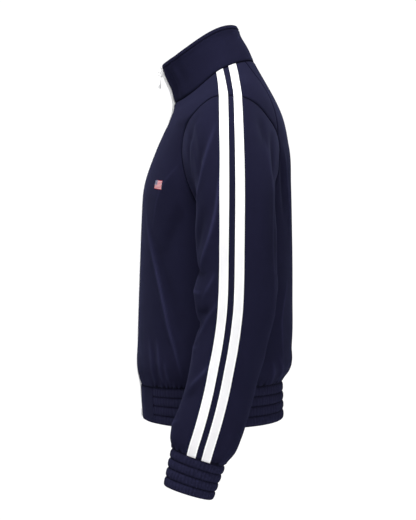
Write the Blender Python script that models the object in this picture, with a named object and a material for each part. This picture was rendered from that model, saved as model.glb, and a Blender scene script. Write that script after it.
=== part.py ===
"""Track jacket, zipped to the top and filled out as when it is worn, with nobody in it.

Metres, +Z up, the front towards -Y and the wearer's left towards +X. The origin is the middle
of the neck opening, where the wearer's neck and shoulders hold the jacket up.

Every cloth piece is a wall worked out from sections of the body, the arm and the collar.
The pieces meet at shared seam points, and each one stops half a seam gap short of them.
"""
import math
from collections import namedtuple

import bpy
import bmesh
import numpy as np
from mathutils import Matrix, Vector

# ---------------------------------------------------------------- driving dimensions

CLOTH = 0.0016             # knit cloth of the body and sleeves
COLLAR_CLOTH = 0.0026      # collar, folded double at its top edge
BAND_CLOTH = 0.0020        # hem band and cuffs
TAPE_CLOTH = 0.0009        # sleeve tapes and zip tapes
SEAM_GAP = 0.0003          # between two pieces at a seam
SLEEVE_GAP = 0.0002        # a sleeve's share of the gap at its two ends
LAY_GAP = 0.0003           # between a tape and the panel that it lies on

FRONT_EDGE = 0.0032        # from the centre line to the folded edge of each front
SIDE_SEAM = 94.0           # degrees round the body from the centre front
TAPE_WIDTH = 0.0153        # white sleeve tape
TAPE_SPACE = 0.0102        # navy cloth that shows between the two tapes

HEM_HEIGHT = 0.065         # mean height of the hem band
CUFF_HEIGHT = 0.062        # mean height of a cuff
TAB_PROUD = 0.0006         # a plain hem tab beyond the stitch lines of the gathered part
GATHERS_HEM = 96           # ridges in the elasticated part of the hem band
GATHERS_CUFF = 32          # ridges in each cuff
CHANNELS = 4               # rows of elastic in the hem band and the cuffs
CHANNEL_PUFF = 0.0019      # how far a channel stands out between its stitch lines
GATHER_DEPTH = 0.0015      # ridge to valley of one gather
TAB_EDGE = 37.0            # degrees round the body, where the plain hem tab ends

CHAIN_HALF_WIDTH = 0.0026
CHAIN_PROUD = 0.0012       # teeth above the cloth's outer face
CHAIN_DEPTH = 0.0026
ZIP_TAPE_WIDTH = 0.0115
ZIP_STOP = 0.08            # share of the collar's top cell that the zip leaves free
ZIP_MEETING = 0.0012       # from the centre line to the near edge of each zip tape
ZIP_BEND = 0.0024          # from the centre line to where a tape turns in behind the front
ZIP_TAPE_GAP = 0.0009      # behind the fronts, whose facets are a little flatter than the body

BOX_HALF_WIDTH = 0.0029    # box at the foot of the zip
BOX_PROUD = 0.0022
BOX_DEPTH = 0.0038
BOX_SHARE = 0.25           # of the zip's lowest stretch

SLIDER_Z = 0.0175          # height of the slider's middle
SLIDER_LENGTH = 0.0130
SLIDER_WIDTH = 0.0084      # at its upper end
SLIDER_TAPER = 0.62        # width of its lower end, as a share
SLIDER_CORNER = 0.60       # width of its top edge, as a share
SLIDER_PLATE = 0.0022
BAIL_HALF_LENGTH = 0.0042  # arch that the pull tab hangs in
BAIL_HALF_WIDTH = 0.0013
BAIL_WEB = 0.0012
BAIL_CLEARANCE = 0.0005    # round the pull tab's bar
BAIL_DROP = 0.0004         # from the slider's middle down to the arch's middle
BAIL_ROOT = 0.0002         # how far the arch's feet reach into the plate
PULL_LENGTH = 0.0270
PULL_WIDTH = 0.0048
PULL_THICKNESS = 0.0013
PULL_BAR = 0.0009          # half height of the bar that turns in the arch
PULL_ARM = 0.0010          # width of the plate beside its slot
PULL_SLOT = 0.0062         # from the joint's axis to the slot's foot
PULL_CORNER = 0.0012       # bevelled corners of the plate's foot
GRIP_TOP = 0.0082          # from the joint's axis to the top of the pull tab's thick grip
GRIP_THICKNESS = 0.0040

NAVY = (0.0165, 0.0172, 0.0400)
WHITE = (0.86, 0.86, 0.88)
PLASTIC = (0.80, 0.80, 0.82)
METAL = (0.78, 0.78, 0.80)

# ---------------------------------------------------------------- sections

# A ring round the body or the neck. side_z, front_z and back_z are its heights at the side, the
# centre front and the centre back, half_width and the two y are its reach, the two squares are
# the exponents of its front and back halves (2 is an ellipse), and the sways bend its height in
# front and behind.
Ring = namedtuple("Ring", "name side_z half_width front_y back_y front_z back_z"
                          " front_square back_square sway back_sway")

BODY = (
    Ring("hem seam", -0.5465, 0.1600, -0.1336, 0.1208, -0.5500, -0.5440, 2.05, 2.4, 0.0, 0.0),
    Ring("blouson", -0.5200, 0.1735, -0.1405, 0.1352, -0.5230, -0.5200, 2.10, 2.5, 0.0, 0.0),
    Ring("low body", -0.4700, 0.1785, -0.1400, 0.1410, -0.4700, -0.4700, 2.10, 2.5, 0.0, 0.0),
    Ring("waist", -0.3900, 0.1800, -0.1378, 0.1417, -0.3900, -0.3900, 2.15, 2.6, 0.0, 0.0),
    Ring("ribs", -0.3100, 0.1830, -0.1350, 0.1412, -0.3100, -0.3100, 2.20, 2.7, 0.0, 0.0),
    Ring("armpit", -0.2520, 0.1855, -0.1328, 0.1394, -0.2520, -0.2520, 2.20, 2.8, 0.0, 0.0),
    Ring("chest", -0.1900, 0.1870, -0.1280, 0.1368, -0.1900, -0.1900, 2.30, 2.9, 0.0, 0.0),
    Ring("upper chest", -0.1300, 0.1920, -0.1080, 0.1342, -0.1300, -0.1200, 2.30, 2.7, 0.0, 0.0),
    Ring("shoulder blade", -0.0920, 0.2080, -0.0927, 0.1230, -0.0950, -0.0640, 2.20, 2.4, 0.0, 0.0),
    Ring("shoulder tip", -0.0640, 0.2190, -0.0836, 0.1085, -0.0765, -0.0310, 2.10, 2.15, 0.005, 0.004),
    Ring("shoulder", -0.0400, 0.1970, -0.0800, 0.0985, -0.0665, -0.0120, 2.05, 2.05, 0.010, 0.006),
    Ring("near the neck", -0.0150, 0.1420, -0.0756, 0.0855, -0.0540, 0.0125, 2.00, 2.0, 0.016, 0.006),
    Ring("neck seam", 0.0076, 0.0850, -0.0723, 0.0723, -0.0375, 0.0372, 2.00, 2.0, 0.024, 0.005),
)

COLLAR = (
    Ring("neck seam", 0.0076, 0.0850, -0.0723, 0.0723, -0.0375, 0.0372, 2.00, 2.0, 0.024, 0.005),
    Ring("low collar", 0.0300, 0.0780, -0.0783, 0.0622, -0.0142, 0.0591, 2.00, 2.0, 0.018, 0.010),
    Ring("high collar", 0.0551, 0.0715, -0.0908, 0.0486, 0.0137, 0.0833, 2.00, 2.0, 0.012, 0.012),
    Ring("top edge", 0.0730, 0.0690, -0.0962, 0.0412, 0.0316, 0.1025, 2.00, 2.0, 0.010, 0.010),
)

HEM = (
    Ring("hem seam", -0.5465, 0.1600, -0.1336, 0.1208, -0.5500, -0.5440, 2.05, 2.4, 0.0, 0.0),
    Ring("bottom edge", -0.6150, 0.1595, -0.1305, 0.1222, -0.6105, -0.6100, 2.05, 2.4, 0.0, 0.0),
)

# How far the teeth stand out from the edges of the cloth beside them. At the collar and the hem
# tabs these edges draw back, and the zip stands out as a keel.
ZipStand = namedtuple("ZipStand", "name z proud")

ZIP_STANDS = (
    ZipStand("foot", -0.6105, 0.0016),
    ZipStand("hem seam", -0.5500, 0.0030),
    ZipStand("above the hem", -0.5200, CHAIN_PROUD),
    ZipStand("upper chest", -0.0950, CHAIN_PROUD),
    ZipStand("below the neck", -0.0600, 0.0024),
    ZipStand("neck seam", -0.0375, 0.0044),
    ZipStand("middle of the collar", 0.0000, 0.0046),
    ZipStand("collar top", 0.0316, 0.0040),
)

# The armhole as it is seen from the side: a closed curve in y and z, laid on the body. It runs
# from the middle of the shoulder down the back, under the arm and up the front.
ArmholePoint = namedtuple("ArmholePoint", "name y z")

ARMHOLE = (
    ArmholePoint("shoulder", 0.0249, -0.0440),
    ArmholePoint("behind the shoulder", 0.0477, -0.0462),
    ArmholePoint("shoulder blade", 0.0725, -0.0585),
    ArmholePoint("upper back", 0.0921, -0.0782),
    ArmholePoint("back", 0.1075, -0.1010),
    ArmholePoint("widest at the back", 0.1140, -0.1350),
    ArmholePoint("low back", 0.1080, -0.1800),
    ArmholePoint("behind the armpit", 0.0790, -0.2300),
    ArmholePoint("armpit", 0.0250, -0.2560),
    ArmholePoint("before the armpit", -0.0200, -0.2400),
    ArmholePoint("low front", -0.0440, -0.1980),
    ArmholePoint("front", -0.0555, -0.1560),
    ArmholePoint("widest at the front", -0.0562, -0.1220),
    ArmholePoint("upper front", -0.0480, -0.0900),
    ArmholePoint("shoulder front", -0.0277, -0.0634),
    ArmholePoint("before the shoulder", -0.0040, -0.0462),
)

# Where the tapes and the set-back shoulder seam cross the neck seam and the armhole, as y.
Crossing = namedtuple("Crossing", "name neck_y armhole_y")

CROSSINGS = (
    Crossing("front tape, front edge", 0.0032, 0.0070),
    Crossing("front tape, back edge", 0.0142, 0.0218),
    Crossing("back tape, front edge", 0.0245, 0.0318),
    Crossing("back tape, back edge", 0.0372, 0.0453),
)
SHOULDER_SEAM = Crossing("shoulder seam", 0.0545, 0.1100)

# The set-back shoulder seam as it is seen from the side, between the neck seam and the armhole.
SeamPoint = namedtuple("SeamPoint", "name y z")

SHOULDER_SEAM_LINE = (
    SeamPoint("below the neck", 0.0681, 0.0104),
    SeamPoint("top of the shoulder", 0.0825, -0.0130),
    SeamPoint("behind the shoulder", 0.0952, -0.0370),
    SeamPoint("back of the shoulder", 0.1035, -0.0590),
    SeamPoint("shoulder blade", 0.1082, -0.0800),
)

# A flat oval section of the sleeve, between its foremost and its hindmost point, from inner_x
# beside the body to outer_x. turn is how far forward of the outermost point the middle of the
# tapes runs, in degrees.
Oval = namedtuple("Oval", "name front_y front_z back_y back_z inner_x outer_x turn")

SLEEVE = (
    Oval("upper arm", -0.0315, -0.2446, 0.1012, -0.2480, 0.1985, 0.3110, 6.4),
    Oval("below the armpit", -0.0332, -0.2720, 0.1030, -0.2740, 0.1985, 0.3125, 6.5),
    Oval("above the elbow", -0.0318, -0.3074, 0.1033, -0.3100, 0.2000, 0.3135, 7.6),
    Oval("elbow crease", -0.0290, -0.3420, 0.1028, -0.3440, 0.2015, 0.3130, 9.1),
    Oval("elbow", -0.0325, -0.3760, 0.1018, -0.3830, 0.2030, 0.3120, 7.7),
    Oval("below the elbow", -0.0325, -0.4020, 0.0990, -0.4160, 0.2050, 0.3110, 8.0),
    Oval("forearm crease", -0.0285, -0.4310, 0.0910, -0.4478, 0.2065, 0.3095, 10.1),
    Oval("forearm", -0.0325, -0.4577, 0.0819, -0.4808, 0.2085, 0.3080, 8.4),
    Oval("mid forearm", -0.0400, -0.4916, 0.0723, -0.5155, 0.2100, 0.3060, 6.4),
    Oval("low forearm", -0.0480, -0.5299, 0.0636, -0.5519, 0.2115, 0.3035, 5.5),
    Oval("sleeve fullness", -0.0598, -0.5684, 0.0539, -0.5882, 0.2125, 0.3020, 3.8),
    Oval("above the cuff", -0.0705, -0.6014, 0.0434, -0.6213, 0.2140, 0.2990, 2.6),
    Oval("over the cuff", -0.0747, -0.6229, 0.0315, -0.6475, 0.2160, 0.2950, 2.0),
    Oval("cuff seam", -0.0707, -0.6366, 0.0150, -0.6662, 0.2220, 0.2890, 0.0),
)

CUFF = (
    Oval("cuff seam", -0.0707, -0.6366, 0.0150, -0.6662, 0.2220, 0.2890, 0.0),
    Oval("bottom edge", -0.0845, -0.6985, -0.0060, -0.7225, 0.2235, 0.2865, 0.0),
)

# The largest folds. On the body, around is in degrees from the centre front; on a sleeve,
# across is in metres towards the front from the middle of the tapes. Each fold is a soft
# ridge (height above 0) or trough from its start to its end.
BodyFold = namedtuple("BodyFold", "name side around_a z_a around_b z_b width height")
SleeveFold = namedtuple("SleeveFold", "name side across_a z_a across_b z_b width height")

BODY_FOLDS = (
    BodyFold("chest to hip, left", 1, 22, -0.235, 62, -0.500, 0.014, 0.0034),
    BodyFold("beside the ridge, left", 1, 34, -0.225, 75, -0.470, 0.016, -0.0024),
    BodyFold("low front, left", 1, 24, -0.495, 44, -0.545, 0.011, 0.0030),
    BodyFold("low side, left", 1, 50, -0.490, 58, -0.545, 0.010, 0.0026),
    BodyFold("back of the waist, left", 1, 150, -0.190, 138, -0.330, 0.013, 0.0026),
    BodyFold("chest to hip, right", -1, 26, -0.250, 58, -0.480, 0.015, 0.0032),
    BodyFold("beside the ridge, right", -1, 40, -0.240, 70, -0.450, 0.016, -0.0024),
    BodyFold("low front, right", -1, 30, -0.500, 46, -0.545, 0.011, 0.0028),
    BodyFold("low side, right", -1, 56, -0.485, 66, -0.545, 0.010, 0.0026),
    BodyFold("back of the waist, right", -1, 146, -0.210, 136, -0.350, 0.014, 0.0026),
)

SLEEVE_FOLDS = (
    SleeveFold("down from the shoulder, left", 1, 0.048, -0.120, 0.085, -0.235, 0.010, 0.0030),
    SleeveFold("armhole trough, left", 1, 0.075, -0.120, 0.100, -0.200, 0.009, -0.0030),
    SleeveFold("inside the elbow, left", 1, 0.030, -0.230, 0.080, -0.345, 0.012, 0.0030),
    SleeveFold("elbow trough, left", 1, 0.045, -0.330, 0.090, -0.345, 0.009, -0.0032),
    SleeveFold("forearm trough, left", 1, 0.025, -0.410, 0.080, -0.432, 0.009, -0.0034),
    SleeveFold("low forearm, left", 1, 0.020, -0.515, 0.060, -0.560, 0.011, 0.0026),
    SleeveFold("behind the arm, left", 1, -0.070, -0.130, -0.095, -0.170, 0.010, -0.0030),
    SleeveFold("down from the shoulder, right", -1, 0.045, -0.125, 0.085, -0.245, 0.010, 0.0028),
    SleeveFold("armhole trough, right", -1, 0.072, -0.115, 0.100, -0.195, 0.009, -0.0030),
    SleeveFold("inside the elbow, right", -1, 0.035, -0.240, 0.082, -0.340, 0.012, 0.0028),
    SleeveFold("elbow trough, right", -1, 0.048, -0.338, 0.090, -0.350, 0.009, -0.0032),
    SleeveFold("forearm trough, right", -1, 0.030, -0.405, 0.080, -0.428, 0.009, -0.0032),
    SleeveFold("low forearm, right", -1, 0.022, -0.505, 0.060, -0.550, 0.011, 0.0026),
    SleeveFold("behind the arm, right", -1, -0.070, -0.135, -0.095, -0.175, 0.010, -0.0030),
)

# Cells of the panels' grids.
CELLS_SIDE = 11            # up the side seam
CELLS_ARM_FRONT = 8        # up the front of the armhole, to the front tape
CELLS_ARM_BACK = 6         # up the back of the armhole, to the shoulder seam
CELLS_BEHIND_TAPE = 3      # from the back tape to the shoulder seam
CELLS_SHOULDER = len(SHOULDER_SEAM_LINE) + 1
SHOULDER_CROWDING = 0.75   # cells along the shoulder are shorter towards the armhole
CELLS_NECK_FRONT = 6       # from the zip to the front tape
CELLS_NECK_BACK = 7        # from the shoulder seam to the centre back
STEPS_ARMHOLE = 12         # places read between two armhole points
CELLS_CAP = 5              # from the armhole to the upper arm
CELLS_TAB = 6              # along a plain hem tab
CELLS_COLLAR = 5           # up the collar

LEFT, RIGHT = 1, -1


# ---------------------------------------------------------------- curves and surfaces

SQUARE_BLEND = 0.12        # how gradually the front half of a ring turns into its back half
FOLD_END = 0.35            # share of its height that a fold keeps at its ends
DIFF = 1e-4                # step up a surface, for slopes
DIFF_AROUND = 6e-3         # step round a surface in degrees, for slopes


def smooth(stops, values, at):
    """Rows of values at stops, joined smoothly and read at the places in at."""
    stops = np.asarray(stops, float)
    values = np.asarray(values, float)
    at = np.clip(np.asarray(at, float), stops[0], stops[-1])
    slopes = np.gradient(values, stops, axis=0)
    low = np.clip(np.searchsorted(stops, at, side="right") - 1, 0, len(stops) - 2)
    step = (stops[low + 1] - stops[low])[..., None]
    t = (at[..., None] - stops[low][..., None]) / step
    start = (1 + 2 * t) * (1 - t) ** 2 * values[low] + t * (1 - t) ** 2 * step * slopes[low]
    end = t * t * (3 - 2 * t) * values[low + 1] + t * t * (t - 1) * step * slopes[low + 1]
    return start + end


def unit(vectors):
    """Vectors at length 1."""
    return vectors / np.maximum(np.linalg.norm(vectors, axis=-1, keepdims=True), 1e-12)


def lengths_along(points):
    """Distance of each point of a line from its first."""
    steps = np.linalg.norm(np.diff(points, axis=0), axis=1)
    return np.concatenate([[0.0], np.cumsum(steps)])


def ring_stations(rings):
    """Distance of each ring above the first, as a mean over front, side and back."""
    front = np.array([(0.0, r.front_y, r.front_z) for r in rings])
    side = np.array([(r.half_width, 0.0, r.side_z) for r in rings])
    back = np.array([(0.0, r.back_y, r.back_z) for r in rings])
    return (lengths_along(front) + lengths_along(side) + lengths_along(back)) / 3


def ring_points(rings, stations, around, up):
    """Points of the surface through some rings, on the wearer's left."""
    around = np.radians(np.asarray(around, float))
    values = np.array([r[1:] for r in rings])
    row = smooth(stations, values, up)
    columns = np.moveaxis(row, -1, 0)
    side_z, half_width, front_y, back_y, front_z, back_z, front_sq, back_sq, sway, back_sway = columns
    c, s = np.cos(around), np.sin(around)
    ahead = 1 / (1 + np.exp(-c / SQUARE_BLEND))
    square = front_sq * ahead + back_sq * (1 - ahead)
    forward = np.sign(c) * np.abs(c) ** (2 / square)
    x = half_width * np.sign(s) * np.abs(s) ** (2 / square)
    y = (front_y + back_y) / 2 - (back_y - front_y) / 2 * forward
    tilt = (front_z - back_z) / 2
    bow = (front_z + back_z) / 2 - side_z
    bend = sway * ahead + back_sway * (1 - ahead)
    z = side_z + tilt * forward + bow * forward ** 2 + bend * (forward ** 3 - forward)
    return np.stack([x, y, z], axis=-1)


def fold_relief(across, z, across_a, z_a, across_b, z_b, width, height):
    """Height of one fold at points given by a distance across and a height."""
    start = np.array([across_a, z_a])
    span = np.array([across_b - across_a, z_b - z_a])
    place = np.stack([across, z], axis=-1) - start
    t = np.clip(place @ span / (span @ span), 0, 1)
    away = np.linalg.norm(place - t[..., None] * span, axis=-1)
    fade = FOLD_END + (1 - FOLD_END) * np.sin(np.pi * t)
    return height * fade * np.exp(-(away / width) ** 2)


BODY_STATIONS = ring_stations(BODY)
COLLAR_STATIONS = ring_stations(COLLAR)
BODY_TOP = BODY_STATIONS[-1]
COLLAR_TOP = COLLAR_STATIONS[-1]
MEAN_HALF_GIRTH = 0.53     # centre front to centre back, for measuring folds


def surface_normals(surface, around, up):
    """Outward normals of a left-hand surface, from its slopes."""
    along = surface(around + DIFF_AROUND, up) - surface(around - DIFF_AROUND, up)
    low, high = np.maximum(up - DIFF, 0.0), up + DIFF
    rise = surface(around, high) - surface(around, low)
    flat = np.linalg.norm(rise, axis=-1, keepdims=True) < 1e-9
    rise = np.where(flat, surface(around, up) - surface(around, up - 2 * DIFF), rise)
    return unit(np.cross(along, rise))


def body_base(around, up):
    """Body surface without folds."""
    return ring_points(BODY, BODY_STATIONS, around, up)


def body_point(around, up, side=LEFT):
    """Body surface with its folds; the right side is mirrored and has folds of its own."""
    around, up = np.broadcast_arrays(np.asarray(around, float), np.asarray(up, float))
    points = body_base(around, up)
    normals = surface_normals(body_base, around, up)
    relief = np.zeros(around.shape)
    for fold in BODY_FOLDS:
        if fold.side == side:
            per_degree = MEAN_HALF_GIRTH / 180
            relief += fold_relief(around * per_degree, points[..., 2], fold.around_a * per_degree,
                                  fold.z_a, fold.around_b * per_degree, fold.z_b,
                                  fold.width, fold.height)
    points = points + relief[..., None] * normals
    return points * np.array([side, 1, 1])


def body_normal(around, up, side=LEFT):
    """Outward normals of the body surface."""
    def left(a, u):
        return body_point(a, u, side) * np.array([side, 1, 1])
    return surface_normals(left, np.asarray(around, float), np.asarray(up, float)) * np.array([side, 1, 1])


def collar_point(around, up):
    """Collar surface, on the left."""
    return ring_points(COLLAR, COLLAR_STATIONS, around, up)


def locate(y, z):
    """Place on the body, as around and up, of a point seen from the side at y and z."""
    arounds, ups = np.meshgrid(np.linspace(25, 165, 141), np.linspace(0.2, BODY_TOP, 160))
    seen = body_base(arounds, ups)
    best = np.argmin((seen[..., 1] - y) ** 2 + (seen[..., 2] - z) ** 2)
    around, up = arounds.flat[best], ups.flat[best]
    for _ in range(4):
        here = body_base(around, up)[1:]
        slope_a = (body_base(around + 0.05, up)[1:] - here) / 0.05
        slope_u = (body_base(around, up - DIFF)[1:] - here) / -DIFF
        move = np.linalg.solve(np.stack([slope_a, slope_u], axis=1), np.array([y, z]) - here)
        around, up = around + move[0], min(up + move[1], BODY_TOP)
    return around, up


def armhole_line():
    """Dense closed line of the armhole, in y and z, from the shoulder round the back."""
    rough = np.array([(p.y, p.z) for p in ARMHOLE])
    count = len(rough)
    wrapped = np.concatenate([rough[-2:], rough, rough[:3]])
    return smooth(np.arange(-2, count + 3), wrapped, np.linspace(0, count, STEPS_ARMHOLE * count + 1))


def neck_angle(y):
    """Degrees round the neck seam at a given y."""
    neck = BODY[-1]
    return math.degrees(math.acos(-y / neck.back_y))


def crossing_on(line, y):
    """Place along the armhole's shoulder, seen from the side, where it has a given y."""
    count = len(line)
    back = line[:count // 3]
    front = line[-count // 4:][::-1]
    if y >= line[0][0]:
        index = np.interp(y, back[:, 0], np.arange(len(back)))
    else:
        index = count - 1 - np.interp(-y, -front[:, 0], np.arange(len(front)))
    return index


def armhole_stops():
    """Armhole points as around and up, from the back tape round the back to the front tape.

    The first two are the gap between the tapes, then come the back tape, the back, the front
    and the front tape.
    """
    line = armhole_line()
    marks = [crossing_on(line, c.armhole_y) for c in CROSSINGS]
    seam = crossing_on(line, SHOULDER_SEAM.armhole_y)
    armpit = STEPS_ARMHOLE * [p.name for p in ARMHOLE].index("armpit")
    places = [marks[2], marks[3]]
    places += list(np.linspace(marks[3], seam, CELLS_BEHIND_TAPE + 1)[1:])
    places += list(np.linspace(seam, armpit, CELLS_ARM_BACK + 1)[1:])
    places += list(np.linspace(armpit, marks[0], CELLS_ARM_FRONT + 1)[1:])
    places += [marks[1]]
    index = np.arange(len(line))
    seen = [(np.interp(p, index, line[:, 0]), np.interp(p, index, line[:, 1])) for p in places]
    return np.array([locate(y, z) for y, z in seen])


STOPS = armhole_stops()
AT_BACK_TAPE = 1                                   # stop at the back tape's back edge
AT_SEAM = AT_BACK_TAPE + CELLS_BEHIND_TAPE         # stop at the shoulder seam
AT_ARMPIT = AT_SEAM + CELLS_ARM_BACK
AT_FRONT_TAPE = AT_ARMPIT + CELLS_ARM_FRONT        # stop at the front tape's front edge


# ---------------------------------------------------------------- panels of the body

def half_girth(up):
    """Centre front to centre back round the body."""
    around = np.linspace(0, 180, 61)
    return lengths_along(body_base(around, np.full(61, float(up))))[-1]


def to_pattern(places, centre):
    """Places as around and up, to a flat pattern: distance from a centre line, and up."""
    return np.array([((a - centre) / 180 * half_girth(u), u) for a, u in places])


def from_pattern(places, centre):
    """The reverse of to_pattern, for a grid of places."""
    ups = np.linspace(0, BODY_TOP, 80)
    girths = np.array([half_girth(u) for u in ups])
    around = centre + places[..., 0] * 180 / np.interp(places[..., 1], ups, girths)
    return around, np.clip(places[..., 1], 0, BODY_TOP)


def panel_places(left, right, top, centre):
    """Grid of places on a panel between its left, right and top edges and the hem seam."""
    bottom = line_between(left[0], right[0], len(top) - 1)
    edges = [to_pattern(edge, centre) for edge in (left, right, bottom, top)]
    around, up = from_pattern(fill_grid(*edges), centre)
    around[-1], up[-1] = top[:, 0], top[:, 1]
    around[:, -1], up[:, -1] = right[:, 0], right[:, 1]
    around[:, 0], up[:, 0] = left[:, 0], left[:, 1]
    return around, up


def fill_grid(left, right, bottom, top):
    """Grid of places inside four edges, each edge a row of places."""
    s = np.linspace(0, 1, len(bottom))[None, :, None]
    t = np.linspace(0, 1, len(left))[:, None, None]
    sides = (1 - s) * left[:, None] + s * right[:, None]
    ends = (1 - t) * bottom[None] + t * top[None]
    corners = ((1 - s) * (1 - t) * bottom[0] + s * (1 - t) * bottom[-1]
               + (1 - s) * t * top[0] + s * t * top[-1])
    return sides + ends - corners


def line_between(start, end, cells):
    """Even places from start to end."""
    return np.linspace(np.asarray(start, float), np.asarray(end, float), cells + 1)


def shoulder_line(start, end):
    """Places from the neck seam to the armhole, closer together where the shoulder rounds off."""
    shares = np.linspace(0, 1, CELLS_SHOULDER + 1)[:, None] ** SHOULDER_CROWDING
    return np.asarray(start, float) * (1 - shares) + np.asarray(end, float) * shares


def neck_place(y):
    """Place on the neck seam at a given y."""
    return neck_angle(y), BODY_TOP


def side_line():
    """Places up the side seam, from the hem to the armpit."""
    return line_between((SIDE_SEAM, 0.0), STOPS[AT_ARMPIT], CELLS_SIDE)


def edge_angle(up):
    """Degrees round the body at the front edge beside the zip."""
    half_widths = smooth(BODY_STATIONS, np.array([[r.half_width] for r in BODY]), up)[..., 0]
    return np.degrees(FRONT_EDGE / half_widths)


def seam_line():
    """Places along the set-back shoulder seam, from the neck seam to the armhole."""
    inner = [locate(p.y, p.z) for p in SHOULDER_SEAM_LINE]
    return np.array([neck_place(SHOULDER_SEAM.neck_y), *inner, STOPS[AT_SEAM]])


def front_places():
    """Grid of the front from the zip to the side seam and the armhole, up to the tapes."""
    right = np.concatenate([side_line(), STOPS[AT_ARMPIT + 1:AT_FRONT_TAPE + 1]])
    ups = np.linspace(0, BODY_TOP, len(right))
    left = np.stack([edge_angle(ups), ups], axis=1)
    neck = line_between(left[-1], neck_place(CROSSINGS[0].neck_y), CELLS_NECK_FRONT)
    shoulder = shoulder_line(neck[-1], STOPS[AT_FRONT_TAPE])
    return panel_places(left, right, np.concatenate([neck, shoulder[1:]]), 0.0)


def shoulder_places():
    """Grid of the front's strip over the shoulder, from the front tape to the shoulder seam."""
    starts = [neck_place(c.neck_y) for c in CROSSINGS]
    ends = [STOPS[AT_FRONT_TAPE], STOPS[-1], STOPS[0], STOPS[AT_BACK_TAPE]]
    rows = [shoulder_line(a, b) for a, b in zip(starts, ends)]
    tape = rows[-1]
    for k in range(1, CELLS_BEHIND_TAPE + 1):
        row = tape + (seam_line() - tape) * k / CELLS_BEHIND_TAPE
        pull_in = np.linspace(0, 1, len(row))[:, None] ** 2
        rows.append(row + pull_in * (STOPS[AT_BACK_TAPE + k] - row[-1]))
    grid = np.array(rows)
    return grid[..., 0], grid[..., 1]


def back_places():
    """Grid of half the back, from the centre back to the side seam, armhole and shoulder seam."""
    right = np.concatenate([side_line(), STOPS[AT_SEAM + 1:AT_ARMPIT][::-1], seam_line()[::-1]])
    left = line_between((180.0, 0.0), (180.0, BODY_TOP), len(right) - 1)
    neck = line_between(left[-1], right[-1], CELLS_NECK_BACK)
    return panel_places(left, right, neck, 180.0)


# ---------------------------------------------------------------- sleeves

CAP_LEAVES = 0.5           # how far the sleeve's top leaves the shoulder along its slope
CAP_SLOPE = 0.45           # fall of the sleeve's top where it leaves the armhole
CAP_PULL = 1.15            # how strongly the two ends' directions shape the sleeve's top
CAP_STRAIGHT = 8           # how soon, towards its highest point, the top leaves straight sideways


def oval_line(oval, side):
    """Dense closed line of a sleeve section, from the middle of the tapes round the back."""
    angles = np.radians(oval.turn) - np.linspace(0, 2 * np.pi, 181)
    front = np.array([0.0, oval.front_y, oval.front_z])
    back = np.array([0.0, oval.back_y, oval.back_z])
    middle = (front + back) / 2 + np.array([(oval.inner_x + oval.outer_x) / 2, 0, 0])
    ahead = (front - back) / 2
    outward = np.array([(oval.outer_x - oval.inner_x) / 2, 0, 0])
    line = middle + np.cos(angles)[:, None] * outward + np.sin(angles)[:, None] * ahead
    return line * np.array([side, 1, 1])


def spread(line, shares):
    """Points of a closed line: the tapes' edges at their real width, the rest by shares."""
    along = lengths_along(line)
    inner = TAPE_SPACE / 2
    outer = inner + TAPE_WIDTH
    free = along[-1] - 2 * outer
    places = np.concatenate([[inner], outer + free * shares, [along[-1] - inner]])
    return np.stack([np.interp(places, along, line[:, k]) for k in range(3)], axis=-1)


def armhole_points(side):
    """Armhole points on the body, and the body's normals there."""
    return body_point(STOPS[:, 0], STOPS[:, 1], side), body_normal(STOPS[:, 0], STOPS[:, 1], side)


def sleeve_grid(side):
    """Sleeve surface: rows from the armhole to the cuff seam, columns round the arm."""
    start, normals = armhole_points(side)
    along = lengths_along(start[AT_BACK_TAPE:AT_FRONT_TAPE + 1])
    shares = along / along[-1]
    ovals = [spread(oval_line(oval, side), shares) for oval in SLEEVE]
    first, second = ovals[0], ovals[1]
    across = unit(np.roll(start, -1, axis=0) - np.roll(start, 1, axis=0))
    into = unit(np.cross(normals, across))
    centre = start.mean(axis=0)
    into *= np.sign(np.sum(into * (centre - start), axis=-1, keepdims=True))
    height = (start[:, 2] - start[:, 2].min()) / np.ptp(start[:, 2])
    outward = unit(np.array([side, 0, 0]) - CAP_SLOPE * height[:, None] * np.array([0, 0, 1]))
    keep = CAP_LEAVES * height[:, None]
    leave = keep * into + (1 - keep) * outward
    leave[:, 1] *= 1 - height ** CAP_STRAIGHT
    leave = unit(leave)
    arrive = unit(second - first)
    reach = CAP_PULL * np.linalg.norm(first - start, axis=1, keepdims=True)
    rows = []
    for t in np.linspace(0, 1, CELLS_CAP + 1)[:-1]:
        rows.append((1 + 2 * t) * (1 - t) ** 2 * start + t * (1 - t) ** 2 * reach * leave
                    + t * t * (3 - 2 * t) * first - t * t * (1 - t) * reach * arrive)
    grid = np.array(rows + ovals)
    return sleeve_folds(grid, side)


def sleeve_folds(grid, side):
    """Sleeve surface with its folds raised, away from the armhole and the cuff seam."""
    normals = grid_normals(grid, closed=True, side=side)
    outer = np.linalg.norm(np.diff(grid, axis=1, append=grid[:, :1]), axis=-1)
    distance = np.cumsum(outer, axis=1) - outer
    total = outer.sum(axis=1, keepdims=True)
    behind = distance + TAPE_SPACE / 2
    across = np.where(behind < total / 2, -behind, total - behind)
    relief = np.zeros(grid.shape[:2])
    for fold in SLEEVE_FOLDS:
        if fold.side == side:
            relief += fold_relief(across, grid[..., 2], *fold[2:])
    relief[0] = 0
    relief[-1] = 0
    return grid + relief[..., None] * normals


def grid_normals(grid, closed, side):
    """Outward normals of a grid, from its neighbours."""
    if closed:
        across = np.roll(grid, -1, axis=1) - np.roll(grid, 1, axis=1)
    else:
        across = np.gradient(grid, axis=1)
    along = np.gradient(grid, axis=0)
    return unit(np.cross(along, across)) * side


def sleeve_normals(grid, side):
    """Sleeve normals, shared with the body along the armhole."""
    normals = grid_normals(grid, closed=True, side=side)
    normals[0] = unit(normals[0] + armhole_points(side)[1])
    return normals


# ---------------------------------------------------------------- meshes

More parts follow.
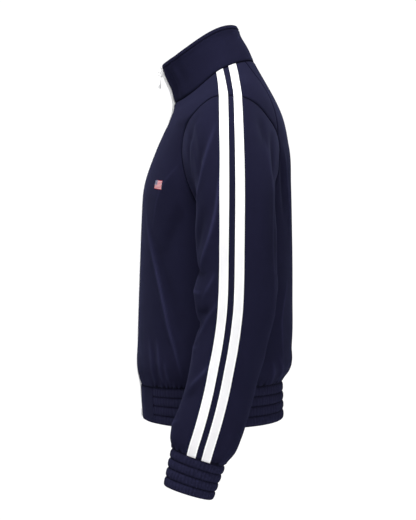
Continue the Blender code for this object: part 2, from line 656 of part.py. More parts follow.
class Sheet:
    """Outer points and normals of a piece of cloth, in one or more grids that share points."""

    def __init__(self):
        self.points, self.normals, self.faces, self.index = [], [], [], {}

    def corner(self, point, normal):
        """Number of a point, which is made only once."""
        key = tuple(np.round(point, 7))
        if key not in self.index:
            self.index[key] = len(self.points)
            self.points.append(np.asarray(point, float))
            self.normals.append(np.asarray(normal, float))
        return self.index[key]

    def add_grid(self, points, normals, closed=False, turned=False):
        """Add the cells of one grid, each as two triangles; turned winds them the other way."""
        number = np.array([[self.corner(p, n) for p, n in zip(row, nrow)]
                           for row, nrow in zip(points, normals)])
        if closed:
            number = np.concatenate([number, number[:, :1]], axis=1)
        for r in range(number.shape[0] - 1):
            for c in range(number.shape[1] - 1):
                a, b, d, e = number[r, c], number[r, c + 1], number[r + 1, c + 1], number[r + 1, c]
                self.faces += [(a, d, b), (a, e, d)] if turned else [(a, b, d), (a, d, e)]


def walled(sheet, thickness, lift=0.0):
    """Closed mesh of a sheet: its outer face, an inner face and the rims between them."""
    mesh = bmesh.new()
    outer = [mesh.verts.new(p + lift * n) for p, n in zip(sheet.points, sheet.normals)]
    inner = [mesh.verts.new(p + (lift - thickness) * n) for p, n in zip(sheet.points, sheet.normals)]
    edges = {}
    for face in sheet.faces:
        mesh.faces.new([outer[k] for k in face])
        mesh.faces.new([inner[k] for k in reversed(face)])
        for a, b in zip(face, face[1:] + face[:1]):
            edges[(a, b)] = edges.get((a, b), 0) + 1
    for a, b in edges:
        if (b, a) not in edges:
            mesh.faces.new([outer[b], outer[a], inner[a], inner[b]])
    return mesh


STEEPEST = 0.3             # least sine between an edge and the cells that meet it


def set_back(points, rows, half_gap=SEAM_GAP / 2):
    """Move an edge row of points half a seam gap towards the next row."""
    edge, inner = points[rows[0]], points[rows[1]]
    along = unit(np.gradient(edge, axis=0))
    inward = unit(inner - edge)
    slant = np.linalg.norm(np.cross(inward, along), axis=-1, keepdims=True)
    points[rows[0]] = edge + inward * half_gap / np.maximum(slant, STEEPEST)


TOP, BOTTOM = (np.s_[-1, :], np.s_[-2, :]), (np.s_[0, :], np.s_[1, :])
LAST, FIRST = (np.s_[:, -1], np.s_[:, -2]), (np.s_[:, 0], np.s_[:, 1])


def new_object(name, mesh, colour, roughness, metallic=0.0, flat=False):
    """Object of a closed mesh, with its own material, in the jacket's collection."""
    bmesh.ops.recalc_face_normals(mesh, faces=mesh.faces)
    if mesh.calc_volume(signed=True) < 0:
        bmesh.ops.reverse_faces(mesh, faces=mesh.faces)
    data = bpy.data.meshes.new(name)
    mesh.to_mesh(data)
    mesh.free()
    if not flat:
        data.shade_smooth()
        data.set_sharp_from_angle(angle=math.radians(50))
    piece = bpy.data.objects.new(name, data)
    JACKET.objects.link(piece)
    finish = bpy.data.materials.new(name)
    finish.use_nodes = True
    shader = finish.node_tree.nodes["Principled BSDF"]
    shader.inputs["Base Color"].default_value = (*colour, 1.0)
    shader.inputs["Roughness"].default_value = roughness
    shader.inputs["Metallic"].default_value = metallic
    data.materials.append(finish)
    return piece


def clear_scene():
    """Remove what the scene holds."""
    for thing in list(bpy.data.objects):
        bpy.data.objects.remove(thing, do_unlink=True)


# ---------------------------------------------------------------- the pieces

def seam_normals(body, other):
    """Normals that two pieces share along a seam."""
    return unit(body + other)


def neck_normals(around, side):
    """Normals shared by the body and the collar along the neck seam."""
    up = np.full(len(around), BODY_TOP)
    body = body_normal(around, up - 2 * DIFF, side)
    collar = surface_normals(collar_point, np.asarray(around, float), np.zeros(len(around)) + 2 * DIFF)
    return seam_normals(body, collar * np.array([side, 1, 1]))


def make_front(side, name):
    """A front: from the zip to the side seam, and over the shoulder to the shoulder seam."""
    sleeve = sleeve_normals(sleeve_grid(side), side)[0]
    around, up = front_places()
    points, normals = body_point(around, up, side), body_normal(around, up, side)
    points[:, 0, 0] = side * FRONT_EDGE
    normals[:, 0, 0] = 0
    normals[:, 0] = unit(normals[:, 0])
    normals[CELLS_SIDE:, -1] = sleeve[AT_ARMPIT:AT_FRONT_TAPE + 1]
    normals[-1, :CELLS_NECK_FRONT + 1] = neck_normals(around[-1, :CELLS_NECK_FRONT + 1], side)

    over_around, over_up = shoulder_places()
    over, over_normals = body_point(over_around, over_up, side), body_normal(over_around, over_up, side)
    order = [AT_FRONT_TAPE, len(STOPS) - 1, 0] + list(range(AT_BACK_TAPE, AT_SEAM + 1))
    over_normals[:, -1] = sleeve[order]
    over_normals[:, 0] = neck_normals(over_around[:, 0], side)

    set_back(points, LAST)
    set_back(over, LAST)
    set_back(over, TOP)
    set_back(over, FIRST)
    set_back(points, TOP)
    set_back(points, BOTTOM)
    points[-1, CELLS_NECK_FRONT:] = over[0]
    normals[-1, CELLS_NECK_FRONT:] = over_normals[0]

    sheet = Sheet()
    sheet.add_grid(points, normals)
    sheet.add_grid(over, over_normals)
    new_object(name, walled(sheet, CLOTH), NAVY, 0.78)
    return points, over, normals, over_normals


def make_back():
    """The back: two halves that share the centre back line."""
    sheet = Sheet()
    around, up = back_places()
    for side in (LEFT, RIGHT):
        sleeve = sleeve_normals(sleeve_grid(side), side)[0]
        points, normals = body_point(around, up, side), body_normal(around, up, side)
        points[:, 0, 0] = 0
        normals[:, 0] = unit(normals[:, 0] * np.array([0, 1, 1]))
        corner = CELLS_SIDE + CELLS_ARM_BACK
        normals[CELLS_SIDE:corner + 1, -1] = sleeve[AT_SEAM:AT_ARMPIT + 1][::-1]
        shared = neck_normals(around[-1], side)
        shared[0, 0] = 0
        normals[-1] = unit(shared)
        set_back(points, LAST)
        set_back(points, TOP)
        set_back(points, BOTTOM)
        points[:, 0, 0] = 0
        if side == RIGHT:
            points[:, 0] = centre
        centre = points[:, 0].copy()
        sheet.add_grid(points, normals, turned=side == RIGHT)
    new_object("back", walled(sheet, CLOTH), NAVY, 0.78)


def make_sleeve(side, name):
    """A sleeve, open at the armhole and at the cuff seam."""
    grid = sleeve_grid(side)
    normals = sleeve_normals(grid, side)
    set_back(grid, BOTTOM, SLEEVE_GAP)
    set_back(grid, TOP, SLEEVE_GAP)
    sheet = Sheet()
    sheet.add_grid(grid, normals, closed=True)
    new_object(name, walled(sheet, CLOTH), NAVY, 0.78)
    return grid, normals


def make_collar():
    """The standing collar, from one side of the zip round the back to the other."""
    half = [edge_angle(np.array([BODY_TOP]))[0]]
    half += list(line_between((half[0],), (neck_angle(CROSSINGS[0].neck_y),), CELLS_NECK_FRONT)[1:, 0])
    half += [neck_angle(c.neck_y) for c in CROSSINGS[1:]]
    seam = neck_angle(SHOULDER_SEAM.neck_y)
    half += list(line_between((half[-1],), (seam,), CELLS_BEHIND_TAPE)[1:, 0])
    half += list(line_between((seam,), (180.0,), CELLS_NECK_BACK)[1:, 0])
    half = np.array(half)
    ups = np.linspace(0, COLLAR_TOP, CELLS_COLLAR + 1)
    around, up = np.meshgrid(half, ups)
    points = collar_point(around, up)
    normals = surface_normals(collar_point, around, np.clip(up, 2 * DIFF, COLLAR_TOP - 2 * DIFF))
    normals[0] = neck_normals(half, LEFT)
    points[:, 0, 0] = FRONT_EDGE
    normals[:, 0] = unit(normals[:, 0] * np.array([0, 1, 1]))
    normals[:, -1] = unit(normals[:, -1] * np.array([0, 1, 1]))
    points[:, -1, 0] = 0
    set_back(points, BOTTOM)
    flip = np.array([-1, 1, 1])
    whole = np.concatenate([points, (points * flip)[:, -2::-1]], axis=1)
    whole_normals = np.concatenate([normals, (normals * flip)[:, -2::-1]], axis=1)
    sheet = Sheet()
    sheet.add_grid(whole, whole_normals)
    new_object("collar", walled(sheet, COLLAR_CLOTH), NAVY, 0.78)
    return points, normals


def make_tape(name, over, sleeve, rows, columns):
    """A white tape on the shoulder and the sleeve, made from their points, moved out."""
    over_points, over_normals = over
    grid, normals = sleeve
    strip = np.concatenate([over_points[rows, :-1].swapaxes(0, 1), grid[:, columns]])
    strip_normals = np.concatenate([over_normals[rows, :-1].swapaxes(0, 1), normals[:, columns]])
    sheet = Sheet()
    sheet.add_grid(strip, strip_normals)
    new_object(name, walled(sheet, TAPE_CLOTH, LAY_GAP + TAPE_CLOTH), WHITE, 0.7)


def gathered_band(path, gathers, closed, thickness):
    """Wall of an elasticated band.

    path(share, down) gives a point and its outward normal. Stitch rows have one point a
    gather, and crest rows a ridge between two valleys. The inside is plain.
    """
    mesh = bmesh.new()
    rows = []
    count = gathers if closed else gathers + 1
    for k in range(2 * CHANNELS + 1):
        down, crest = k / (2 * CHANNELS), k % 2 == 1
        puff = CHANNEL_PUFF if crest else 0.0
        row = []
        shares = np.arange(2 * gathers + (0 if closed else 1)) / (2 * gathers)
        if not crest:
            shares = shares[::2]
        for place, share in enumerate(shares):
            point, normal = path(share, down)
            ridge = GATHER_DEPTH if crest and place % 2 else 0.0
            row.append(mesh.verts.new(point + (puff + ridge) * normal))
        rows.append(row)
    inner = []
    for down in (0.0, 1.0):
        row = []
        for k in range(count):
            point, normal = path(k / gathers, down)
            row.append(mesh.verts.new(point - thickness * normal))
        inner.append(row)
    for k in range(len(rows) - 1):
        stitch, crest = (rows[k], rows[k + 1]) if k % 2 == 0 else (rows[k + 1], rows[k])
        for g in range(gathers):
            a, b = stitch[g], stitch[(g + 1) % len(stitch)]
            v, r, w = crest[2 * g], crest[2 * g + 1], crest[(2 * g + 2) % len(crest)]
            mesh.faces.new((a, r, v))
            mesh.faces.new((a, b, r))
            mesh.faces.new((b, w, r))
    for g in range(gathers):
        h = (g + 1) % count
        mesh.faces.new((inner[0][g], inner[0][h], inner[1][h], inner[1][g]))
        mesh.faces.new((rows[0][g], rows[0][h], inner[0][h], inner[0][g]))
        mesh.faces.new((rows[-1][g], rows[-1][h], inner[1][h], inner[1][g]))
    if not closed:
        for end in (0, -1):
            edge = [row[end] for row in rows]
            mesh.faces.new(edge + [inner[1][end], inner[0][end]])
    return mesh


def hem_point(around, down):
    """Point and outward normal of the hem band: around from 0 to 360 degrees."""
    side = LEFT if around <= 180 else RIGHT
    angle = around if around <= 180 else 360 - around
    ends = np.array([0.0, 1.0])
    point = ring_points(HEM, ends, angle, down)
    along = ring_points(HEM, ends, angle + 0.5, down) - ring_points(HEM, ends, angle - 0.5, down)
    normal = unit(np.cross(along, np.array([0.0, 0.0, 1.0])))
    return point * np.array([side, 1, 1]), normal * np.array([side, 1, 1])


def hem_angles():
    """Even shares of the elasticated hem's length, as degrees round the body."""
    degrees = np.linspace(TAB_EDGE, 360 - TAB_EDGE, 721)
    line = np.array([hem_point(d, 0.0)[0] for d in degrees])
    return degrees, lengths_along(line)


def make_hem():
    """The elasticated hem band, from one tab round the back to the other."""
    degrees, along = hem_angles()
    top_gap = SEAM_GAP / HEM_HEIGHT

    def path(share, down):
        inset = SEAM_GAP * 1.5 / along[-1]
        place = inset + share * (1 - 2 * inset)
        around = np.interp(place * along[-1], along, degrees)
        return hem_point(around, top_gap + down * (1 - top_gap))

    new_object("hem_band", gathered_band(path, GATHERS_HEM, False, BAND_CLOTH), NAVY, 0.8, flat=True)


def make_hem_tab(side, name):
    """A plain flat end of the hem band beside the zip."""
    start = math.degrees(FRONT_EDGE / HEM[0].half_width)
    angles = np.linspace(start, TAB_EDGE, CELLS_TAB + 1)
    top_gap = SEAM_GAP / HEM_HEIGHT
    points, normals = [], []
    for down in (top_gap, 0.5, 1.0):
        row = [hem_point(angle, down) for angle in angles]
        points.append([p * np.array([side, 1, 1]) for p, _ in row])
        normals.append([n * np.array([side, 1, 1]) for _, n in row])
    points, normals = np.array(points), np.array(normals)
    points[:, 0, 0] = side * FRONT_EDGE
    normals[:, 0] = unit(normals[:, 0] * np.array([0, 1, 1]))
    points = points + TAB_PROUD * normals
    set_back(points, LAST)
    sheet = Sheet()
    sheet.add_grid(points, normals)
    new_object(name, walled(sheet, BAND_CLOTH), NAVY, 0.8)


def make_cuff(side, name):
    """An elasticated cuff."""
    lines = [oval_line(oval, side) for oval in CUFF]
    seam_gap = SEAM_GAP / CUFF_HEIGHT

    def path(share, down):
        t = seam_gap + down * (1 - seam_gap)
        line = lines[0] * (1 - t) + lines[1] * t
        along = lengths_along(line)
        centre = line[:-1].mean(axis=0)
        places = np.array([share, (share + 0.004) % 1, (share - 0.004) % 1]) * along[-1]
        point, after, before = np.stack([np.interp(places, along, line[:, k]) for k in range(3)], axis=1)
        axis = (lines[1] - lines[0])[:-1].mean(axis=0)
        normal = unit(np.cross(after - before, axis))
        if normal @ (point - centre) < 0:
            normal = -normal
        return point, normal

    new_object(name, gathered_band(path, GATHERS_CUFF, True, BAND_CLOTH), NAVY, 0.8, flat=True)


# ---------------------------------------------------------------- the zip

def centre_front(front_rows, collar_rows):
    """Line of the centre front, in y and z, from the bottom edge of the hem to the collar top."""
    foot = np.array([[HEM[1].front_y - TAB_PROUD, HEM[1].front_z + TAB_PROUD]])
    return np.concatenate([foot, front_rows, collar_rows[1:]])


def line_normals(line):
    """Outward normals of a line in the y-z plane."""
    slope = unit(np.gradient(line, axis=0))
    return np.stack([-slope[:, 1], slope[:, 0]], axis=1)


def raised_line(line, normals):
    """The line moved out to where the teeth stand, less the height that they have everywhere."""
    stands = np.array([(s.z, s.proud - CHAIN_PROUD) for s in ZIP_STANDS])
    return line + np.interp(line[:, 1], stands[:, 0], stands[:, 1])[:, None] * normals


def strip_mesh(line, normals, half_width, proud, depth):
    """Bar along a line of the y-z plane, from proud of the line to a depth under its top."""
    mesh = bmesh.new()
    rows = []
    for place, normal in zip(line, normals):
        top, foot = place + proud * normal, place + (proud - depth) * normal
        row = [(-half_width, *top), (half_width, *top), (half_width, *foot), (-half_width, *foot)]
        rows.append([mesh.verts.new(corner) for corner in row])
    for low, high in zip(rows, rows[1:]):
        for k in range(4):
            mesh.faces.new((low[k], low[k - 1], high[k - 1], high[k]))
    mesh.faces.new(rows[0])
    mesh.faces.new(rows[-1])
    return mesh


def make_zip(front_rows, collar_rows):
    """Zip tapes, chain, box, slider and pull tab."""
    line = centre_front(front_rows, collar_rows)
    normals = line_normals(line)
    line[-1] += (line[-2] - line[-1]) * ZIP_STOP
    raised = raised_line(line, normals)
    for side, name in ((LEFT, "zip_tape_left"), (RIGHT, "zip_tape_right")):
        make_zip_tape(side, name, line, raised, normals)
    step = raised[1] - raised[0]
    foot = np.array([raised[0], raised[0] + step * BOX_SHARE])
    start = foot[1] + unit(step) * SEAM_GAP
    chain = strip_mesh(np.concatenate([start[None], raised[1:]]), normals, CHAIN_HALF_WIDTH,
                       CHAIN_PROUD, CHAIN_DEPTH)
    new_object("zip_chain", chain, PLASTIC, 0.45)
    box = strip_mesh(foot, normals[:2], BOX_HALF_WIDTH, BOX_PROUD, BOX_DEPTH)
    new_object("zip_box", box, PLASTIC, 0.4)
    make_slider(raised)


def zip_tape_edge():
    """Points of a zip tape's far edge, on the left, level with the rows of the centre front."""
    x = ZIP_TAPE_WIDTH
    hem = hem_point(math.degrees(x / HEM[0].half_width), 1.0)[0]
    ups = np.linspace(0, BODY_TOP, CELLS_SIDE + CELLS_ARM_FRONT + 1)
    widths = smooth(BODY_STATIONS, np.array([[r.half_width] for r in BODY]), ups)[..., 0]
    body = body_point(np.degrees(x / widths), ups)
    collar_ups = np.linspace(0, COLLAR_TOP, CELLS_COLLAR + 1)
    widths = smooth(COLLAR_STATIONS, np.array([[r.half_width] for r in COLLAR]), collar_ups)[..., 0]
    collar = collar_point(np.degrees(np.arcsin(x / widths)), collar_ups)
    edge = np.concatenate([hem[None], body, collar[1:]])
    edge[-1] += (edge[-2] - edge[-1]) * ZIP_STOP
    return edge


def make_zip_tape(side, name, line, raised, normals):
    """A zip tape: under the teeth, in past the edge of the cloth and on behind it."""
    behind = COLLAR_CLOTH + ZIP_TAPE_GAP
    under = CHAIN_PROUD - CHAIN_DEPTH - LAY_GAP
    flat = np.column_stack([np.zeros(len(line)), normals])
    near = np.column_stack([np.full(len(line), ZIP_MEETING), raised + under * normals])
    bend = np.column_stack([np.full(len(line), ZIP_BEND), line - behind * normals])
    far = zip_tape_edge() - behind * flat
    fall = np.sum((near - bend) * flat, axis=1, keepdims=True)
    steep = unit(fall * np.array([1, 0, 0]) + (ZIP_BEND - ZIP_MEETING) * flat)
    mitre = unit(steep + flat)
    mitre /= np.sum(mitre * flat, axis=1, keepdims=True)
    mirror = np.array([side, 1, 1])
    sheet = Sheet()
    sheet.add_grid(np.stack([near, bend, far], axis=1) * mirror,
                   np.stack([steep, mitre, flat], axis=1) * mirror)
    new_object(name, walled(sheet, TAPE_CLOTH), WHITE, 0.7)


def plate_mesh(outlines, thickness, matrix):
    """Closed plate of a flat outline, with a hole for each further outline, placed by a matrix."""
    curve = bpy.data.curves.new("outline", "CURVE")
    curve.dimensions = "2D"
    curve.fill_mode = "BOTH"
    curve.extrude = thickness / 2
    for outline in outlines:
        spline = curve.splines.new("POLY")
        spline.points.add(len(outline) - 1)
        for point, (x, y) in zip(spline.points, outline):
            point.co = (x, y, 0.0, 1.0)
        spline.use_cyclic_u = True
    holder = bpy.data.objects.new("outline", curve)
    CUTTERS.objects.link(holder)
    data = bpy.data.meshes.new_from_object(holder.evaluated_get(bpy.context.evaluated_depsgraph_get()))
    mesh = bmesh.new()
    mesh.from_mesh(data)
    bmesh.ops.remove_doubles(mesh, verts=mesh.verts, dist=1e-6)
    bmesh.ops.transform(mesh, matrix=matrix, verts=mesh.verts)
    bpy.data.objects.remove(holder, do_unlink=True)
    return mesh


def mirrored(half):
    """Closed outline of one half, from bottom to top at x above 0, and its mirror image."""
    return half + [(-x, y) for x, y in reversed(half)]


def make_slider(line):
    """The slider near the collar's top, with the arch on it, and the pull tab hung in that."""
    above = np.searchsorted(line[:, 1], SLIDER_Z)
    slope = unit(line[above] - line[above - 1])
    place = line[above - 1] + slope * (SLIDER_Z - line[above - 1, 1]) / slope[1]
    frame = Matrix(((1, 0, 0, 0),
                    (0, slope[0], -slope[1], place[0]),
                    (0, slope[1], slope[0], place[1]),
                    (0, 0, 0, 1)))
    low = CHAIN_PROUD + LAY_GAP
    half_length, half_width = SLIDER_LENGTH / 2, SLIDER_WIDTH / 2
    outline = mirrored([(half_width * SLIDER_TAPER, -half_length), (half_width, half_length * 0.84),
                        (half_width * SLIDER_CORNER, half_length)])
    plate = plate_mesh([outline], SLIDER_PLATE, Matrix.Translation((0, 0, low + SLIDER_PLATE / 2)))
    slider = new_object("zip_slider", plate, METAL, 0.3, metallic=0.9, flat=True)

    foot = low + SLIDER_PLATE - BAIL_ROOT
    axis = low + SLIDER_PLATE + PULL_BAR + BAIL_CLEARANCE
    window = axis + PULL_BAR + BAIL_CLEARANCE
    half, inner = BAIL_HALF_LENGTH, BAIL_HALF_LENGTH - BAIL_WEB
    arch = [(inner, foot), (inner, window), (-inner, window), (-inner, foot),
            (-half, foot), (-half, window + BAIL_WEB), (half, window + BAIL_WEB), (half, foot)]
    upright = Matrix.Translation((0, -BAIL_DROP, 0)) @ Matrix(((0, 0, 1, 0), (1, 0, 0, 0),
                                                               (0, 1, 0, 0), (0, 0, 0, 1)))
    slider.matrix_world = frame
    join_on(slider, "slider_arch", plate_mesh([arch], 2 * BAIL_HALF_WIDTH, upright))
    make_pull(frame @ Vector((0, -BAIL_DROP, axis)))


def join_on(piece, name, mesh):
    """Join a closed mesh, given in a piece's own axes, to that piece."""
    added = new_object(name, mesh, METAL, 0.3, flat=True)
    CUTTERS.objects.link(added)
    JACKET.objects.unlink(added)
    added.hide_render = True
    added.display_type = "WIRE"
    added.matrix_world = piece.matrix_basis
    join = piece.modifiers.new(name, "BOOLEAN")
    join.operation = "UNION"
    join.object = added


def make_pull(pivot):
    """The pull tab: a plate with a slot, hung by the bar above the slot."""
    half, foot = PULL_WIDTH / 2, PULL_BAR - PULL_LENGTH
    outline = mirrored([(half - PULL_CORNER, foot), (half, foot + PULL_CORNER), (half, PULL_BAR)])
    slot = mirrored([(half - PULL_ARM, -PULL_SLOT), (half - PULL_ARM, -PULL_BAR)])
    standing = Matrix.Rotation(math.radians(90), 4, "X")
    plate = plate_mesh([outline, slot], PULL_THICKNESS, standing)
    pull = new_object("zip_pull", plate, METAL, 0.3, metallic=0.9, flat=True)
    pull.location = pivot
    block = mirrored([(half - PULL_CORNER, foot), (half, foot + PULL_CORNER), (half, -GRIP_TOP)])
    join_on(pull, "pull_grip", plate_mesh([block], GRIP_THICKNESS, standing))


# ---------------------------------------------------------------- assembly

def new_collection(name):
    """Collection in the scene."""
    collection = bpy.data.collections.new(name)
    bpy.context.scene.collection.children.link(collection)
    return collection


clear_scene()
JACKET = new_collection("track_jacket")
CUTTERS = new_collection("cutters")


def main():
    """Build the jacket."""
    for side, word in ((LEFT, "left"), (RIGHT, "right")):
        front, over, front_normals, over_normals = make_front(side, f"front_{word}")
        sleeve = make_sleeve(side, f"sleeve_{word}")
        last = sleeve[0].shape[1] - 1
        make_tape(f"tape_{word}_front", (over, over_normals), sleeve, [0, 1], [last - 1, last])
        make_tape(f"tape_{word}_back", (over, over_normals), sleeve, [2, 3], [0, 1])
        make_cuff(side, f"cuff_{word}")
        make_hem_tab(side, f"hem_tab_{word}")
    make_back()
    collar, _ = make_collar()
    make_hem()
    make_zip(front[:, 0, 1:], collar[:, 0, 1:])


main()
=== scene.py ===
"""Looks of a zip-up track jacket, filled out as when it is worn, with nobody in it.

Metres, +Z up, the front towards -Y and the wearer's left towards +X. The origin is the middle
of the neck opening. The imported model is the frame: every piece of cloth is a thin wall on the
same form, with finer cells, folds, gathers, seams and stitching.
"""
from __future__ import annotations

import logging
import math
from dataclasses import astuple, dataclass, field, replace
from enum import Enum
from functools import cache

import bmesh
import bpy
import numpy as np
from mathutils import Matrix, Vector
from mathutils.kdtree import KDTree

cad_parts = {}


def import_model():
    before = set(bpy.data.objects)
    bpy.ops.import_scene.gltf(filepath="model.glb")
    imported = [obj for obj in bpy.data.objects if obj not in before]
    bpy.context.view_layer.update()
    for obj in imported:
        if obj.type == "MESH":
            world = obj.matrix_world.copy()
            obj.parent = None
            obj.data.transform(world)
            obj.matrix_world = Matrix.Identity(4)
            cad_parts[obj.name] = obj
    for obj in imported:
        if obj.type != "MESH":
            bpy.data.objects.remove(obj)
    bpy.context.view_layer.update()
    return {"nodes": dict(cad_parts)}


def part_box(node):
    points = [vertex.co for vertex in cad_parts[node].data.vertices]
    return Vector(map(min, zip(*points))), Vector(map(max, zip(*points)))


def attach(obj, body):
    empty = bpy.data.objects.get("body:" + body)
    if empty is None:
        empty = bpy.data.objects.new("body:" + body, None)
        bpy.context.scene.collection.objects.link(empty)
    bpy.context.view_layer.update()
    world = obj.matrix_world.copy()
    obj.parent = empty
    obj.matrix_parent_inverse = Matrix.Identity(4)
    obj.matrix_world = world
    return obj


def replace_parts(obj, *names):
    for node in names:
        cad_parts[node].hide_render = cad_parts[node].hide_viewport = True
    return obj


Array = np.ndarray
Triple = tuple[float, float, float]
Node, Socket, Piece = bpy.types.Node, bpy.types.NodeSocket, bpy.types.Object
LOG = logging.getLogger("track_jacket")
BODY_NAME = "garment"
FRONT_EDGE = 0.0032     # metres from the centre line to the edges of the cloth beside the zip
HEM_TAB_END = 37.0      # degrees from the centre front at which the hem's gathers begin
ROUND_POINTS = 361      # points with which a closed line is drawn before it is divided
PAINTED_HIGHLIGHT_REACH = 0.0030  # metres from a ridge's crest over which its painted highlight spreads
PAINTED_FOLD_LIGHT_GAIN = 330.0   # gain of the painted fold light: a painted highlight on crests, painted shade in troughs
TROUGH_PAINTED_SHADE = 0.3    # share of a trough's depth that darkens its colour as painted shade
GATHER_PAINTED_HIGHLIGHT = 0.8    # share of a gather's height that lightens its colour as a painted highlight


class Side(Enum):
    """The wearer's left or right, with its sign along x."""

    LEFT = 1
    RIGHT = -1

    @property
    def word(self) -> str:
        """The side's name in lower case."""
        return self.name.lower()

    @property
    def flip(self) -> Array:
        """Factors that mirror a left-hand point to this side."""
        return np.array([self.value, 1.0, 1.0])


class Wind(Enum):
    """Which way round the faces of a grid are wound."""

    PLAIN = 0
    TURNED = 1

    def on(self, side: Side) -> "Wind":
        """The winding on a side, where this is the left side's; the right side is mirrored."""
        return self if side is Side.LEFT else Wind(1 - self.value)


# -------- sections of the form


@dataclass(frozen=True)
class Ring:
    """A ring round the body or the neck.

    The three z are its heights at the side, the centre front and the centre back; half_width and
    the two y are its reach. The squares are the exponents of its front and back halves, where 2
    is an ellipse, and the sways bend its height in front and behind.
    """

    name: str
    side_z: float
    half_width: float
    front_y: float
    back_y: float
    front_z: float
    back_z: float
    front_square: float
    back_square: float
    sway: float
    back_sway: float


@dataclass(frozen=True)
class Oval:
    """A flat oval section of the sleeve; turn is how far forward the tapes' middle runs, in degrees."""

    name: str
    front_y: float
    front_z: float
    back_y: float
    back_z: float
    inner_x: float
    outer_x: float
    turn: float


@dataclass(frozen=True)
class SidePoint:
    """A named point as it is seen from the side."""

    name: str
    y: float
    z: float


@dataclass(frozen=True)
class Crossing:
    """Where a line over the shoulder leaves the neck seam and meets the armhole."""

    name: str
    neck_y: float
    armhole_y: float


@dataclass(frozen=True)
class ZipStand:
    """How far the teeth stand out from the edges of the cloth beside them at one height."""

    name: str
    z: float
    proud: float


@dataclass(frozen=True)
class Crease:
    """A soft ridge (height above 0) or trough along a path of (across, z) places.

    On the body, across is in degrees from the centre front. On a sleeve it is in metres, forward
    from the middle of the tapes. steep is how much narrower its far side is than its near side.
    """

    name: str
    path: tuple[tuple[float, float], ...]
    width: float
    height: float
    steep: float = 1.0


BODY_RINGS = (
    Ring("hem seam", -.5465, .16, -.1336, .1208, -.55, -.544, 2.05, 2.4, 0.0, 0.0),
    Ring("blouson", -.52, .1735, -.1405, .1352, -.523, -.52, 2.1, 2.5, 0.0, 0.0),
    Ring("low body", -.47, .1785, -.14, .141, -.47, -.47, 2.1, 2.5, 0.0, 0.0),
    Ring("waist", -.39, .18, -.1378, .1417, -.39, -.39, 2.15, 2.6, 0.0, 0.0),
    Ring("ribs", -.31, .183, -.135, .1412, -.31, -.31, 2.2, 2.7, 0.0, 0.0),
    Ring("armpit", -.252, .1855, -.1328, .1394, -.252, -.252, 2.2, 2.8, 0.0, 0.0),
    Ring("chest", -.19, .187, -.128, .1368, -.19, -.19, 2.3, 2.9, 0.0, 0.0),
    Ring("upper chest", -.13, .192, -.108, .1342, -.13, -.12, 2.3, 2.7, 0.0, 0.0),
    Ring("shoulder blade", -.092, .208, -.0927, .123, -.095, -.064, 2.2, 2.4, 0.0, 0.0),
    Ring("shoulder tip", -.064, .219, -.0836, .1085, -.0765, -.031, 2.1, 2.15, .005, .004),
    Ring("shoulder", -.04, .197, -.08, .0985, -.0665, -.012, 2.05, 2.05, .01, .006),
    Ring("near the neck", -.015, .142, -.0756, .0855, -.054, .0125, 2.0, 2.0, .016, .006),
    Ring("neck seam", .0076, .085, -.0723, .0723, -.0375, .0372, 2.0, 2.0, .024, .005),
)
COLLAR_RINGS = (
    BODY_RINGS[-1],
    Ring("low collar", .03, .078, -.0783, .0622, -.0142, .0591, 2.0, 2.0, .018, .01),
    Ring("high collar", .0551, .0715, -.0908, .0486, .0137, .0833, 2.0, 2.0, .012, .012),
    Ring("top edge", .073, .069, -.0962, .0412, .0316, .1025, 2.0, 2.0, .01, .01),
)
HEM_RINGS = (
    BODY_RINGS[0],
    Ring("bottom edge", -.615, .1595, -.1305, .1222, -.6105, -.61, 2.05, 2.4, 0.0, 0.0),
)
SLEEVE_OVALS = (
    Oval("upper arm", -.0315, -.2446, .1012, -.248, .1985, .311, 6.4),
    Oval("below the armpit", -.0332, -.272, .103, -.274, .1985, .3125, 6.5),
    Oval("above the elbow", -.0318, -.3074, .1033, -.31, .2, .3135, 7.6),
    Oval("elbow crease", -.029, -.342, .1028, -.344, .2015, .313, 9.1),
    Oval("elbow", -.0325, -.376, .1018, -.383, .203, .312, 7.7),
    Oval("below the elbow", -.0325, -.402, .099, -.416, .205, .311, 8.0),
    Oval("forearm crease", -.0285, -.431, .091, -.4478, .2065, .3095, 10.1),
    Oval("forearm", -.0325, -.4577, .0819, -.4808, .2085, .308, 8.4),
    Oval("mid forearm", -.04, -.4916, .0723, -.5155, .21, .306, 6.4),
    Oval("low forearm", -.048, -.5299, .0636, -.5519, .2115, .3035, 5.5),
    Oval("sleeve fullness", -.0598, -.5684, .0539, -.5882, .2125, .302, 3.8),
    Oval("above the cuff", -.0705, -.6014, .0434, -.6213, .214, .299, 2.6),
    Oval("over the cuff", -.0747, -.6229, .0315, -.6475, .216, .295, 2.0),
    Oval("cuff seam", -.0707, -.6366, .015, -.6662, .222, .289, 0.0),
)
CUFF_OVALS = (
    SLEEVE_OVALS[-1],
    Oval("bottom edge", -.0845, -.6985, -.006, -.7225, .2235, .2865, 0.0),
)
ARMHOLE = (
    SidePoint("shoulder", .0249, -.044),
    SidePoint("behind the shoulder", .0477, -.0462),
    SidePoint("shoulder blade", .0725, -.0585),
    SidePoint("upper back", .0921, -.0782),
    SidePoint("back", .1075, -.101),
    SidePoint("widest at the back", .114, -.135),
    SidePoint("low back", .108, -.18),
    SidePoint("behind the armpit", .079, -.23),
    SidePoint("armpit", .025, -.256),
    SidePoint("before the armpit", -.02, -.24),
    SidePoint("low front", -.044, -.198),
    SidePoint("front", -.0555, -.156),
    SidePoint("widest at the front", -.0562, -.122),
    SidePoint("upper front", -.048, -.09),
    SidePoint("shoulder front", -.0277, -.0634),
    SidePoint("before the shoulder", -.004, -.0462),
)
ARMPIT_AT = 8  # number of the armpit in ARMHOLE
CROSSINGS = (
    Crossing("front tape, front edge", .0032, .007),
    Crossing("front tape, back edge", .0142, .0218),
    Crossing("back tape, front edge", .0245, .0318),
    Crossing("back tape, back edge", .0372, .0453),
)
SEAM_CROSSING = Crossing("shoulder seam", .0545, .11)
